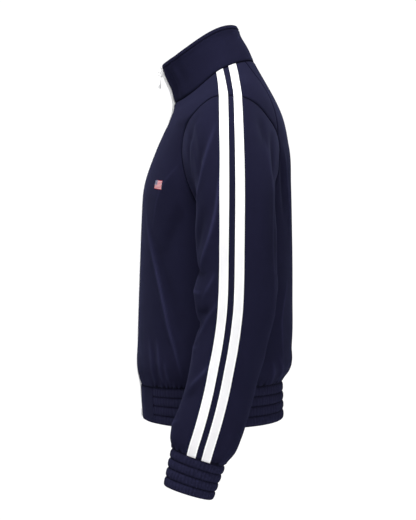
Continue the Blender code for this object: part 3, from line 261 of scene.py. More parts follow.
SHOULDER_SEAM = (
    SidePoint("below the neck", .0681, .0104),
    SidePoint("top of the shoulder", .0825, -.013),
    SidePoint("behind the shoulder", .0952, -.037),
    SidePoint("back of the shoulder", .1035, -.059),
    SidePoint("shoulder blade", .1082, -.08),
)

ZIP_STANDS = (
    ZipStand("foot", -.6105, .0016),
    ZipStand("hem seam", -.55, .003),
    ZipStand("above the hem", -.52, .0012),
    ZipStand("upper chest", -.095, .0012),
    ZipStand("below the neck", -.06, .0024),
    ZipStand("neck seam", -.0375, .0044),
    ZipStand("middle of the collar", 0.0, .0046),
    ZipStand("collar top", .0316, .004),
)

BODY_CREASES = (
    Crease("long drape", ((24.5, -.235), (34, -.289), (43.5, -.342), (51, -.394), (57, -.446),
           (64.5, -.497), (68, -.524)), .007, .0046, .6),
    Crease("behind the drape", ((35, -.262), (51, -.345), (61, -.405), (69, -.465)), .012, -.0018),
    Crease("low front", ((35, -.462), (39.5, -.5), (41, -.531), (41.5, -.546)), .006, .0022),
    Crease("low front, middle", ((44.5, -.462), (48, -.498), (50, -.528), (51, -.546)), .006, .0026),
    Crease("beside the low front", ((40, -.47), (44.5, -.515), (46, -.54)), .006, -.0014),
    Crease("low side front", ((53, -.5), (56, -.5295), (57.5, -.546)), .0055, .0024),
    Crease("side, under the arm", ((82, -.27), (88, -.36), (84, -.46), (90, -.53)), .015, .0036),
    Crease("armhole to chest", ((60, -.16), (46, -.2), (36, -.265)), .02, .0022),
    Crease("chest hollow", ((68, -.235), (56, -.28), (50, -.33)), .018, -.003),
    Crease("back of the armhole", ((148, -.131), (153, -.2), (155.5, -.271)), .008, .0034, .7),
    Crease("hollow behind the arm", ((138.5, -.131), (143, -.176), (145, -.25)), .011, -.0034),
    Crease("back waist", ((150, -.36), (140, -.43), (146, -.5)), .016, .003),
    Crease("low back", ((131, -.5), (140.5, -.54)), .0065, .0028),
    Crease("low back, inner", ((139, -.492), (154, -.54)), .0065, .0028),
    Crease("low back, centre", ((166, -.48), (172, -.54)), .008, .0026),
    Crease("shoulder blade fall", ((172, -.11), (164, -.2), (158, -.32)), .024, .0026),
)
SLEEVE_CREASES = (
    Crease("along the armhole", ((.045, -.088), (.065, -.092), (.09, -.118), (.1, -.132), (.112, -.172)),
           .007, .0009, .8),
    Crease("armhole hollow", ((.06, -.083), (.088, -.11), (.111, -.138), (.128, -.175)), .007, -.0026),
    Crease("down from the shoulder", ((.027, -.098), (.032, -.1128), (.0425, -.1423), (.0625, -.1903),
           (.087, -.2324)), .007, .0034, .75),
    Crease("between the falls", ((.05, -.125), (.062, -.155), (.078, -.19)), .009, -.0026),
    Crease("tape to elbow", ((.0185, -.175), (.0235, -.2147), (.0275, -.2453), (.04, -.29), (.064, -.337)),
           .0075, .0046, .65),
    Crease("before the elbow", ((.052, -.235), (.066, -.28), (.078, -.318)), .013, -.0044),
    Crease("elbow notch", ((.046, -.352), (.066, -.347), (.09, -.341), (.115, -.345)), .008, -.0034),
    Crease("elbow bulge", ((.055, -.378), (.085, -.376), (.115, -.38)), .015, .0036),
    Crease("elbow ridge", ((.028, -.345), (.0378, -.3642), (.0523, -.3866)), .011, .0024),
    Crease("elbow dent", ((.036, -.405), (.05, -.4085), (.066, -.41)), .008, -.004),
    Crease("below the dent", ((.017, -.386), (.0285, -.4048), (.038, -.4185), (.0495, -.4388),
           (.063, -.4581)), .007, .0022, .65),
    Crease("forearm notch", ((.062, -.43), (.08, -.432), (.105, -.438)), .008, -.0052),
    Crease("forearm rise", ((.056, -.468), (.084, -.47)), .016, .0026),
    Crease("low forearm", ((.02, -.495), (.03, -.5102), (.041, -.5228), (.0535, -.5359)), .0075, .0036, .7),
    Crease("under the low forearm", ((.036, -.536), (.056, -.556)), .01, -.0026),
    Crease("over the cuff", ((.058, -.588), (.088, -.603)), .015, .0032),
    Crease("rear of the arm", ((-.074, -.1), (-.078, -.158), (-.0865, -.224), (-.083, -.292),
           (-.084, -.359), (-.0814, -.423)), .01, .0018),
    Crease("flat of the rear", ((-.088, -.205), (-.086, -.245), (-.085, -.292), (-.085, -.35)), .016,
           -.0042),
    Crease("behind the arm", ((-.1, -.1), (-.1005, -.148), (-.096, -.195)), .0105, -.0052),
    Crease("behind the shoulder", ((-.056, -.08), (-.069, -.103), (-.08, -.14)), .012, -.0036),
    Crease("inside the elbow", ((.15, -.33), (.125, -.352), (.1, -.345)), .01, .0036),
    Crease("inside the elbow, low", ((.15, -.395), (.12, -.405), (.095, -.398)), .01, .0034),
    Crease("inner forearm", ((.15, -.455), (.12, -.48), (.098, -.52)), .011, .0032),
    Crease("under the arm", ((.175, -.275), (.16, -.33), (.168, -.39)), .013, .0034),
    Crease("back of the elbow", ((-.1, -.35), (-.125, -.385), (-.15, -.395)), .013, .003),
    Crease("back of the forearm", ((-.085, -.47), (-.105, -.52), (-.1, -.57)), .012, .0028),
)


# -------- curves


def unit(vectors: Array) -> Array:
    """Vectors at length 1."""
    return vectors / np.maximum(np.linalg.norm(vectors, axis=-1, keepdims=True), 1e-12)


def lengths_along(points: Array, axis: int = 0) -> Array:
    """Distance of each point of a line, or of a grid's lines along an axis, from the first."""
    steps = np.linalg.norm(np.diff(points, axis=axis), axis=-1)
    return np.insert(np.cumsum(steps, axis=axis), 0, 0.0, axis=axis)


def read_line(line: Array, along: Array, places: Array) -> Array:
    """Points of a line at some distances along it."""
    return np.stack([np.interp(places, along, values) for values in line.T], axis=1)


def evened(line: Array, passes: int = 2) -> Array:
    """A line, or rows of points, evened out with its two ends kept."""
    line = line.copy()
    for _ in range(passes):
        line[1:-1] = (line[:-2] + 2 * line[1:-1] + line[2:]) / 4
    return line


def oval_line(values: tuple[float, ...] | Array, side: Side) -> Array:
    """Points all round a section, from the middle of the tapes.

    Args:
        values: an Oval's numbers, in their order.
        side: which side.
    """
    front_y, front_z, back_y, back_z, inner_x, outer_x, turn = values
    angles = np.radians(turn) - np.linspace(0, 2 * np.pi, ROUND_POINTS)
    front, back = np.array([0.0, front_y, front_z]), np.array([0.0, back_y, back_z])
    middle = (front + back) / 2 + np.array([(inner_x + outer_x) / 2, 0, 0])
    outward = np.array([(outer_x - inner_x) / 2, 0, 0])
    line = middle + np.cos(angles)[:, None] * outward + np.sin(angles)[:, None] * (front - back) / 2
    return line * side.flip


def ease(low: float, high: float, value: Array) -> Array:
    """A soft step from 0 at low to 1 at high."""
    t = np.clip((value - low) / (high - low), 0.0, 1.0)
    return t * t * (3 - 2 * t)


def smooth(stops: Array, values: Array, at: Array) -> Array:
    """Rows of values joined by a smooth curve.

    Args:
        stops: where each row of values stands.
        values: the rows.
        at: where to read the curve.

    Returns:
        One row for each place in at.
    """
    stops, values = np.asarray(stops, float), np.asarray(values, float)
    at = np.clip(np.asarray(at, float), stops[0], stops[-1])
    slopes = np.gradient(values, stops, axis=0)
    low = np.clip(np.searchsorted(stops, at, side="right") - 1, 0, len(stops) - 2)
    step = (stops[low + 1] - stops[low])[..., None]
    t = (at[..., None] - stops[low][..., None]) / step
    start = (1 + 2 * t) * (1 - t) ** 2 * values[low] + t * (1 - t) ** 2 * step * slopes[low]
    end = t * t * (3 - 2 * t) * values[low + 1] + t * t * (t - 1) * step * slopes[low + 1]
    return start + end


def line_between(start: Array, end: Array, cells: int) -> Array:
    """Even places from start to end."""
    return np.linspace(np.asarray(start, float), np.asarray(end, float), cells + 1)


def resample(line: Array, spacing: float) -> Array:
    """The points of a line at an even spacing."""
    along = lengths_along(line)
    places = np.linspace(0, along[-1], max(2, int(round(along[-1] / spacing)) + 1))
    return read_line(line, along, places)


def creases_of(side: Side, creases: tuple[Crease, ...], unit_across: float, seed: int) -> list[Crease]:
    """The creases of a side; those on the right are like the left ones but a little different.

    Args:
        side: which side.
        creases: the left side's creases.
        unit_across: metres for one unit of across.
        seed: starts the differences.

    Returns:
        The side's creases.
    """
    if side is Side.LEFT:
        return list(creases)
    rng, right = np.random.default_rng(seed), []
    moves = [0.0028 / unit_across, 0.006]
    for crease in creases:
        moved = np.array(crease.path) + rng.normal(0, 1, (len(crease.path), 2)) * moves
        height = crease.height * rng.uniform(0.8, 1.1)
        right.append(replace(crease, path=tuple(map(tuple, moved)), height=height))
    return right


def crease_relief(crease: Crease, across: Array, z: Array, unit_across: float) -> tuple[Array, Array]:
    """Height that one crease gives to some places, and the painted fold light there.

    Args:
        crease: the ridge or trough.
        across: the places' distance across, in the crease's own unit.
        z: the places' heights.
        unit_across: metres for one unit of across.

    Returns:
        The height to add, in metres, and the painted fold light: above 0 a painted highlight on a ridge,
        below 0 painted shade in a trough.
    """
    rough = np.array(crease.path) * [unit_across, 1.0]
    steps = lengths_along(rough)
    path = smooth(steps, rough, np.linspace(0, steps[-1], 15))
    along = lengths_along(path)
    places = np.stack([across * unit_across, z], axis=-1)
    margin = 3.2 * crease.width  # beyond this a crease gives less than a hundredth of its height
    near = np.all((places > path.min(0) - margin) & (places < path.max(0) + margin), -1)
    relief, painted_fold_light = np.zeros(across.shape), np.zeros(across.shape)
    spots = places[near]
    best = np.full(len(spots), np.inf)
    share, sign = np.zeros(len(spots)), np.ones(len(spots))
    for k in range(len(path) - 1):
        span = path[k + 1] - path[k]
        t = np.clip((spots - path[k]) @ span / (span @ span), 0, 1)
        off = spots - path[k] - t[:, None] * span
        away = np.linalg.norm(off, axis=1)
        closer = away < best
        best = np.where(closer, away, best)
        share = np.where(closer, (along[k] + t * (along[k + 1] - along[k])) / along[-1], share)
        sign = np.where(closer, np.sign(off[:, 0] * span[1] - off[:, 1] * span[0]), sign)
    width = crease.width * np.where(sign > 0, 1.0, crease.steep)
    fade = np.sin(np.pi * np.clip(share, 0.02, 0.98)) ** 0.6
    crest = 1.5 if crease.height > 0 else 2.0
    relief[near] = crease.height * fade * np.exp(-(best / width) ** crest)
    # Painted light along the crease: a painted highlight on a ridge's crest, painted shade in a trough.
    reach, gain = (PAINTED_HIGHLIGHT_REACH, 1.0) if crease.height > 0 else (crease.width, TROUGH_PAINTED_SHADE)
    painted_fold_light[near] = gain * crease.height * fade * np.exp(-(best / reach) ** 2)
    return relief, painted_fold_light


def sum_creases(creases: list[Crease], across: Array, z: Array, unit_across: float) -> tuple[Array, Array]:
    """Height and painted fold light that some creases give together."""
    parts = [crease_relief(crease, across, z, unit_across) for crease in creases]
    return sum(part[0] for part in parts), sum(part[1] for part in parts)


# -------- the form


@dataclass
class RingSurface:
    """The surface through some rings; around is in degrees from the centre front, up in metres."""

    rings: tuple[Ring, ...]
    blend: float = 0.12
    stations: Array = field(init=False)
    values: Array = field(init=False)

    def __post_init__(self) -> None:
        """Work out how far up each ring is."""
        lines = [np.array([(0.0, r.front_y, r.front_z) for r in self.rings]),
                 np.array([(r.half_width, 0.0, r.side_z) for r in self.rings]),
                 np.array([(0.0, r.back_y, r.back_z) for r in self.rings])]
        self.stations = sum(lengths_along(line) for line in lines) / 3
        self.values = np.array([astuple(r)[1:] for r in self.rings])

    @property
    def top(self) -> float:
        """How far up the last ring is."""
        return float(self.stations[-1])

    def half_width(self, up: Array) -> Array:
        """Reach of the surface to the side at some heights."""
        return smooth(self.stations, self.values[:, 1:2], up)[..., 0]

    def point(self, around: Array, up: Array) -> Array:
        """Points of the surface on the wearer's left."""
        angle = np.radians(np.asarray(around, float))
        row = np.moveaxis(smooth(self.stations, self.values, up), -1, 0)
        side_z, half_width, front_y, back_y, front_z, back_z, front_sq, back_sq, sway, back_sway = row
        c, s = np.cos(angle), np.sin(angle)
        ahead = 1 / (1 + np.exp(-c / self.blend))
        square = front_sq * ahead + back_sq * (1 - ahead)
        forward = np.sign(c) * np.abs(c) ** (2 / square)
        x = half_width * np.sign(s) * np.abs(s) ** (2 / square)
        y = (front_y + back_y) / 2 - (back_y - front_y) / 2 * forward
        bow = (front_z + back_z) / 2 - side_z
        bend = sway * ahead + back_sway * (1 - ahead)
        z = side_z + (front_z - back_z) / 2 * forward + bow * forward ** 2 + bend * (forward ** 3 - forward)
        return np.stack([x, y, z], axis=-1)

    def normal(self, around: Array, up: Array) -> Array:
        """Outward normals of the surface on the wearer's left."""
        around, up = np.broadcast_arrays(np.asarray(around, float), np.asarray(up, float))
        low, high = np.clip(up - 1e-4, 0, self.top - 2e-4), np.clip(up + 1e-4, 2e-4, self.top)
        along = self.point(around + 6e-3, up) - self.point(around - 6e-3, up)
        return unit(np.cross(along, self.point(around, high) - self.point(around, low)))


@dataclass
class BodyForm(RingSurface):
    """The body with its armhole, tapes and shoulder seam laid out on it."""

    side_seam: float = 94.0
    front_edge: float = FRONT_EDGE
    girth: float = 0.53
    side_cells: int = 96
    front_arm_cells: int = 88
    back_arm_cells: int = 60
    behind_cells: int = 24
    tape_cells: int = 6
    space_cells: int = 4
    shoulder_cells: int = 44
    neck_front_cells: int = 40
    neck_back_cells: int = 72
    stops: Array = field(init=False)
    girths: tuple[Array, Array] = field(init=False)

    def __post_init__(self) -> None:
        """Lay out the armhole."""
        super().__post_init__()
        ups = np.linspace(0, self.top, 90)
        rounds = np.linspace(0, 180, 73)
        self.girths = ups, np.array([lengths_along(self.point(rounds, np.full(73, u)))[-1] for u in ups])
        self.stops = self._armhole_stops()

    def locate(self, seen: Array) -> Array:
        """Places on the body of points seen from the side.

        Args:
            seen: rows of y and z.

        Returns:
            Rows of around and up.
        """
        arounds, ups = np.meshgrid(np.linspace(25, 165, 141), np.linspace(0.2, self.top, 160))
        grid = self.point(arounds, ups)[..., 1:].reshape(-1, 2)
        tree = KDTree(len(grid))
        for k, (y, z) in enumerate(grid):
            tree.insert((y, z, 0), k)
        tree.balance()
        places = []
        for y, z in seen:
            k = tree.find((y, z, 0))[1]
            around, up = arounds.flat[k], ups.flat[k]
            for _ in range(4):
                here = self.point(around, up)[1:]
                slopes = np.stack([(self.point(around + 0.05, up)[1:] - here) / 0.05,
                                   (here - self.point(around, up - 1e-4)[1:]) / 1e-4], axis=1)
                move = np.linalg.solve(slopes, np.array([y, z]) - here)
                around, up = around + move[0], min(up + move[1], self.top)
            places.append((around, up))
        return np.array(places)

    @property
    def marks(self) -> list[int]:
        """Numbers of the stops at the tapes' edges, the seam, the armpit and the front tape."""
        cells = (self.tape_cells, self.behind_cells, self.back_arm_cells, self.front_arm_cells,
                 self.tape_cells, self.space_cells)
        return [0, *np.cumsum(cells).tolist()]

    def _armhole_stops(self) -> Array:
        """Armhole places from the back tape round the back, under the arm and up to the tapes."""
        rough = np.array([(p.y, p.z) for p in ARMHOLE])
        count, steps = len(rough), 24
        wrapped = np.concatenate([rough[-2:], rough, rough[:3]])
        line = smooth(np.arange(-2, count + 3), wrapped, np.linspace(0, count, steps * count + 1))
        back, front = line[:len(line) // 3], line[-(len(line) // 4):][::-1]

        def crossing(y: float) -> float:
            """Number, with its fraction, of the armhole's point at a given y on the shoulder."""
            if y >= line[0][0]:
                return float(np.interp(y, back[:, 0], np.arange(len(back))))
            return len(line) - 1 - float(np.interp(-y, -front[:, 0], np.arange(len(front))))

        edges = [crossing(c.armhole_y) for c in CROSSINGS]
        seam, armpit, last = crossing(SEAM_CROSSING.armhole_y), steps * ARMPIT_AT, len(line) - 1
        runs = [(edges[2], edges[3], self.tape_cells), (edges[3], seam, self.behind_cells),
                (seam, armpit, self.back_arm_cells), (armpit, edges[0], self.front_arm_cells),
                (edges[0], edges[1], self.tape_cells), (edges[1], edges[2] + last, self.space_cells)]
        index = np.concatenate([np.linspace(a, b, n, endpoint=False) for a, b, n in runs]) % last
        return self.locate(read_line(line, np.arange(last + 1), index))

    def neck_place(self, y: float) -> tuple[float, float]:
        """Place on the neck seam at a given y."""
        return math.degrees(math.acos(-y / self.rings[-1].back_y)), self.top

    def shoulder_line(self, start: Array, end: Array) -> Array:
        """Places from the neck seam to the armhole, closer together towards the armhole."""
        shares = np.linspace(0, 1, self.shoulder_cells + 1)[:, None] ** 0.75
        return np.asarray(start, float) * (1 - shares) + np.asarray(end, float) * shares

    def seam_line(self) -> Array:
        """Places along the set-back shoulder seam, from the neck seam to the armhole."""
        inner = self.locate(np.array([(p.y, p.z) for p in SHOULDER_SEAM]))
        line = np.array([self.neck_place(SEAM_CROSSING.neck_y), *inner, self.stops[self.marks[2]]])
        along = lengths_along(line * [self.girth / 180, 1.0])
        shares = np.linspace(0, 1, self.shoulder_cells + 1) ** 0.9
        return smooth(along, line, shares * along[-1])

    def side_line(self) -> Array:
        """Places up the side seam, from the hem to the armpit."""
        return line_between((self.side_seam, 0.0), self.stops[self.marks[3]], self.side_cells)

    def panel_places(self, left: Array, right: Array, top: Array, centre: float) -> tuple[Array, Array]:
        """Places on a panel inside its edges.

        Args:
            left: places up the centre line.
            right: places up the far edge.
            top: places along the top edge.
            centre: degrees of the centre line, from which the cloth is measured.

        Returns:
            Around and up of each place, in rows from the hem to the top.
        """
        def flat(places: Array) -> Array:
            """Across and up of some places, in metres."""
            around = (places[:, 0] - centre) / 180 * np.interp(places[:, 1], *self.girths)
            return np.stack([around, places[:, 1]], axis=1)

        low = flat(line_between(left[0], right[0], len(top) - 1))
        left_flat, right_flat, high = flat(left), flat(right), flat(top)
        s = np.linspace(0, 1, len(top))[None, :, None]
        t = np.linspace(0, 1, len(left))[:, None, None]
        grid = ((1 - s) * left_flat[:, None] + s * right_flat[:, None] + (1 - t) * low[None] + t * high[None]
                - (1 - s) * (1 - t) * low[0] - s * (1 - t) * low[-1]
                - (1 - s) * t * high[0] - s * t * high[-1])
        around = centre + grid[..., 0] * 180 / np.interp(grid[..., 1], *self.girths)
        up = np.clip(grid[..., 1], 0, self.top)
        for rows, edge in (((-1, slice(None)), top), ((slice(None), -1), right), ((slice(None), 0), left)):
            around[rows], up[rows] = edge[:, 0], edge[:, 1]
        return around, up

    def front_places(self) -> tuple[Array, Array]:
        """Places of a front, up to the front tape."""
        marks = self.marks
        right = np.concatenate([self.side_line(), self.stops[marks[3] + 1:marks[4] + 1]])
        ups = np.linspace(0, self.top, len(right))
        left = np.stack([np.degrees(self.front_edge / self.half_width(ups)), ups], axis=1)
        neck = line_between(left[-1], self.neck_place(CROSSINGS[0].neck_y), self.neck_front_cells)
        shoulder = self.shoulder_line(neck[-1], self.stops[marks[4]])
        return self.panel_places(left, right, np.concatenate([neck, shoulder[1:]]), 0.0)

    def shoulder_places(self) -> tuple[Array, Array]:
        """Places of the front's strip over the shoulder, from the front tape to the seam."""
        marks = self.marks
        ends = self.stops[[marks[4], marks[5], 0, marks[1]]]
        lines = [self.shoulder_line(self.neck_place(c.neck_y), end) for c, end in zip(CROSSINGS, ends)]
        lines.append(self.seam_line())
        numbers = [range(marks[4], marks[5] + 1), [*range(marks[5], marks[6]), 0],
                   range(0, marks[1] + 1), range(marks[1], marks[2] + 1)]
        pull = np.linspace(0, 1, self.shoulder_cells + 1)[:, None] ** 2
        rows = []
        for low, high, run in zip(lines, lines[1:], numbers):
            run = list(run)
            for k, number in enumerate(run[:-1]):
                row = low + (high - low) * k / (len(run) - 1)
                rows.append(row + pull * (self.stops[number] - row[-1]))
        grid = np.array([*rows, lines[-1]])
        return grid[..., 0], grid[..., 1]

    def back_places(self) -> tuple[Array, Array]:
        """Places of half the back, from the centre back outwards."""
        marks = self.marks
        arm = self.stops[marks[2] + 1:marks[3]][::-1]
        right = np.concatenate([self.side_line(), arm, self.seam_line()[::-1]])
        left = line_between((180.0, 0.0), (180.0, self.top), len(right) - 1)
        return self.panel_places(left, right, line_between(left[-1], right[-1], self.neck_back_cells), 180.0)


@dataclass
class Puckers:
    """Short gathers of the cloth where it is sewn to elastic.

    They stand on the seam at uneven spaces, and each is a ridge that leans a little and fades out.
    """

    seed: int
    spacing: float
    length: float
    width: float
    height: float

    def relief(self, along: Array, away: Array, total: float) -> Array:
        """Height that the puckers give.

        Args:
            along: metres along the seam.
            away: metres from the seam.
            total: the seam's length.

        Returns:
            The height to add, in metres.
        """
        rng = np.random.default_rng(self.seed)
        count = int(total / self.spacing)
        steps = rng.uniform(0.6, 1.4, count)
        at = np.cumsum(steps) / steps.sum() * total
        height = np.zeros(along.shape)
        near = away < 2.6 * self.length
        places, heights = along[near], away[near]
        gain = np.zeros(len(places))
        for place, reach, lean, size, breadth in zip(
                at, rng.uniform(0.5, 1.6, count), rng.normal(0, 0.25, count),
                rng.uniform(0.45, 1.15, count), rng.uniform(0.8, 1.3, count)):
            off = (places - place - lean * heights + total / 2) % total - total / 2
            widening = self.width * breadth * (1 + 10 * heights)
            gain += size * np.exp(-(off / widening) ** 2) * np.exp(-(heights / (self.length * reach)) ** 2)
        height[near] = self.height * (gain - 0.45) * ease(-0.003, 0.004, heights) * np.exp(
            -(heights / (1.3 * self.length)) ** 2)
        return height

    def painted_notch_shade(self, height: Array, away: Array) -> Array:
        """Painted shade in the dips between the puckers, just above the seam, given as painted fold light
        below 0.

        Args:
            height: the height that the puckers give.
            away: metres from the seam.
        """
        return -0.0030 * np.clip(-height / (0.3 * self.height), 0, 1) * np.exp(-(away / 0.0048) ** 2)


@dataclass
class SeamNet:
    """The lines where pieces are sewn together, for the groove that runs along them and its painted shade."""

    depth: float = 0.0011
    width: float = 0.0021
    lines: list[Array] = field(default_factory=list)
    tree: KDTree = field(init=False)

    def add(self, line: Array) -> None:
        """Add a line of points."""
        self.lines.append(resample(line, 0.0007))

    def close(self) -> None:
        """Make the lines ready to be measured from."""
        points = np.concatenate(self.lines)
        self.tree = KDTree(len(points))
        for k, point in enumerate(points):
            self.tree.insert(point, k)
        self.tree.balance()

    def distance(self, points: Array) -> Array:
        """Distance of each point from the nearest line."""
        return np.array([self.tree.find(p)[2] for p in points.reshape(-1, 3)]).reshape(points.shape[:-1])

    def groove(self, away: Array) -> Array:
        """Depth of the groove at some distances, as heights below 0, with a soft lip beside it."""
        lip = 0.22 * self.depth * np.exp(-((away - 2.4 * self.width) / self.width) ** 2)
        return lip - self.depth * np.exp(-(away / self.width) ** 2)

    def shade(self, away: Array) -> Array:
        """Painted shade along the grooves: how much of each place lies in a groove, from 0 to 1."""
        return np.exp(-(away / (0.55 * self.width)) ** 2)


@dataclass
class Cloth:
    """Outer points of a piece, in grids that share points where they meet."""

    points: list[Array] = field(default_factory=list)
    flats: list[Array] = field(default_factory=list)
    shades: list[Array] = field(default_factory=list)
    faces: list[Array] = field(default_factory=list)
    count: int = 0

    def add_grid(self, points: Array, shade: Array | None = None, flat: Array | None = None,
                 closed: bool = False, wind: Wind = Wind.PLAIN) -> None:
        """Add a grid of points.

        Args:
            points: rows of points.
            shade: painted shade of each point, above 0 in seams and troughs; below 0 it is a painted
                highlight on crests.
            flat: across and along of each point on the cut cloth, in metres.
            closed: whether the last column joins the first.
            wind: which way round the faces are wound.
        """
        if closed:
            points = np.concatenate([points, points[:, :1]], axis=1)
            shade = None if shade is None else np.concatenate([shade, shade[:, :1]], axis=1)
        rows, columns = points.shape[:2]
        if flat is None:
            across, along = lengths_along(points, 1), lengths_along(points)
            flat = np.stack([across - across.mean(axis=1, keepdims=True), along], axis=-1)
        number = self.count + np.arange(rows * columns).reshape(rows, columns)
        corners = [number[:-1, :-1], number[:-1, 1:], number[1:, 1:], number[1:, :-1]]
        if wind is Wind.TURNED:
            corners = corners[::-1]
        self.faces.append(np.stack(corners, axis=-1).reshape(-1, 4))
        self.points.append(points.reshape(-1, 3))
        self.flats.append(flat.reshape(-1, 2))
        self.shades.append((np.zeros((rows, columns)) if shade is None else shade).reshape(-1))
        self.count += rows * columns

    def build(self, name: str, thickness: float, finish: "Finish", rounding: float = 0.3) -> Piece:
        """Make the piece as a closed wall.

        Args:
            name: the piece's name.
            thickness: how thick the cloth is.
            finish: what it is made of.
            rounding: how far its rims bulge, as a share of the thickness.

        Returns:
            The new object.
        """
        points, flats = np.concatenate(self.points), np.concatenate(self.flats)
        shades, faces = np.concatenate(self.shades), np.concatenate(self.faces)
        _, first, same = np.unique(np.round(points, 6), axis=0, return_index=True, return_inverse=True)
        same = same.reshape(-1)
        solid = same[faces]
        outer = points[first]
        a, b, c, d = (outer[solid[:, k]] for k in range(4))
        cross = np.cross(c - a, d - b)
        normals = np.zeros_like(outer)
        for k in range(4):
            np.add.at(normals, solid[:, k], cross)
        normals = unit(normals)
        inner = outer - thickness * normals
        edges = np.concatenate([solid[:, [k, (k + 1) % 4]] for k in range(4)])
        edges = edges[edges[:, 0] != edges[:, 1]]
        keys = {(int(p), int(q)) for p, q in edges}
        rim = np.array([(p, q) for p, q in keys if (q, p) not in keys], int).reshape(-1, 2)
        size = len(outer)
        vertices = [outer, inner]
        quads = [solid, solid[:, ::-1] + size]
        if len(rim):
            ends = np.unique(rim)
            place = np.full(size, -1)
            place[ends] = np.arange(len(ends))
            outward = np.zeros((len(ends), 3))
            span = outer[rim[:, 1]] - outer[rim[:, 0]]
            for k in (0, 1):
                np.add.at(outward, place[rim[:, k]], unit(np.cross(span, normals[rim[:, k]])))
            middle = (outer[ends] + inner[ends]) / 2 + rounding * thickness * unit(outward)
            vertices.append(middle)
            mid = place[rim] + 2 * size
            quads += [np.stack([rim[:, 1], rim[:, 0], mid[:, 0], mid[:, 1]], 1),
                      np.stack([mid[:, 1], mid[:, 0], rim[:, 0] + size, rim[:, 1] + size], 1)]
        quads = np.concatenate(quads)
        vertices = np.concatenate(vertices)
        mesh = bpy.data.meshes.new(name)
        mesh.from_pydata(vertices.tolist(), [], [list(dict.fromkeys(q)) for q in quads.tolist()])
        mesh.validate()
        uv = mesh.uv_layers.new(name="cloth")
        flat_of = np.zeros((len(vertices), 2))
        shade_of = np.zeros(len(vertices))
        flat_of[:size], flat_of[size:2 * size] = flats[first], flats[first]
        shade_of[:size] = shades[first]
        if len(rim):
            flat_of[2 * size:] = flats[first][ends]
        loops = np.zeros(len(mesh.loops), int)
        mesh.loops.foreach_get("vertex_index", loops)
        uv.data.foreach_set("uv", flat_of[loops].reshape(-1))
        # The seam attribute holds painted shade (above 0, in seams and troughs) and a painted highlight
        # (below 0, on crests), which the knit finish multiplies into the colour.
        seam = mesh.attributes.new("seam", "FLOAT", "POINT")
        seam.data.foreach_set("value", shade_of)
        mesh.shade_smooth()
        return new_piece(name, mesh, finish)


def new_object(name: str, data: bpy.types.ID) -> Piece:
    """Object of a mesh, light or camera, in the scene."""
    made = bpy.data.objects.new(name, data)
    bpy.context.scene.collection.objects.link(made)
    return made


def smooth_mesh(name: str, form: bmesh.types.BMesh) -> bpy.types.Mesh:
    """Smooth mesh of an edited form, which is let go."""
    mesh = bpy.data.meshes.new(name)
    form.to_mesh(mesh)
    form.free()
    mesh.shade_smooth()
    return mesh


def new_piece(name: str, mesh: bpy.types.Mesh, finish: "Finish", body: str = BODY_NAME) -> Piece:
    """Object of a mesh, with its finish, that moves with a body."""
    piece = new_object(name, mesh)
    mesh.materials.append(finish.material())
    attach(piece, body)
    return piece


# -------- finishes


class Weaver:
    """Adds and joins shader nodes in one tree."""

    def __init__(self, tree: bpy.types.NodeTree) -> None:
        """Start on a tree."""
        self.tree = tree

    def add(self, kind: str, inputs: dict | None = None, **settings: object) -> Node:
        """Add a node.

        Args:
            kind: the node's type.
            inputs: a value or a socket for some of its inputs.
            **settings: other properties of the node.

        Returns:
            The new node.
        """
        node = self.tree.nodes.new(kind)
        for key, value in settings.items():
            setattr(node, key, value)
        for key, value in (inputs or {}).items():
            if isinstance(value, Socket):
                self.tree.links.new(value, node.inputs[key])
            else:
                node.inputs[key].default_value = value
        return node

    def math(self, operation: str, a: object, b: object = 0.0) -> Socket:
        """Result of a sum of two values or sockets."""
        return self.add("ShaderNodeMath", {0: a, 1: b}, operation=operation).outputs[0]

    def mix(self, factor: object, a: object, b: object, blend: str = "MIX") -> Socket:
        """Colour between a and b."""
        node = self.add("ShaderNodeMix", {"Factor": factor, 6: a, 7: b}, data_type="RGBA", blend_type=blend)
        return node.outputs[2]

    def shaded(self, colour: object, light: object) -> Socket:
        """A colour made lighter or darker by a factor."""
        grey = self.add("ShaderNodeCombineColor", {0: light, 1: light, 2: light}).outputs[0]
        return self.mix(1.0, colour, grey, "MULTIPLY")

    def swing(self, noise: Node, gain: object) -> Socket:
        """A noise's swing about 0, at some gain."""
        return self.math("MULTIPLY", self.math("SUBTRACT", noise.outputs[0], 0.5), gain)

    def flat(self) -> Node:
        """Across and along of the place on the cut cloth."""
        return self.add("ShaderNodeSeparateXYZ", {0: self.add("ShaderNodeUVMap", uv_map="cloth").outputs[0]})

    def output(self, node: Node, **results: Socket) -> None:
        """Join results to the inputs of an output node."""
        for label, socket in results.items():
            self.tree.links.new(socket, node.inputs[label])


def new_group(name: str, inputs: dict[str, str], outputs: dict[str, str]) -> tuple[
        bpy.types.NodeTree, Weaver, Node, Node]:
    """An empty shader node group.

    Args:
        name: the group's name.
        inputs: socket type of each named input.
        outputs: socket type of each named output.

    Returns:
        The group, a weaver for it, and its input and output nodes.
    """
    group = bpy.data.node_groups.new(name, "ShaderNodeTree")
    for label, kind in inputs.items():
        group.interface.new_socket(name=label, in_out="INPUT", socket_type=f"NodeSocket{kind}")
    for label, kind in outputs.items():
        group.interface.new_socket(name=label, in_out="OUTPUT", socket_type=f"NodeSocket{kind}")
    weaver = Weaver(group)
    return group, weaver, weaver.add("NodeGroupInput"), weaver.add("NodeGroupOutput")


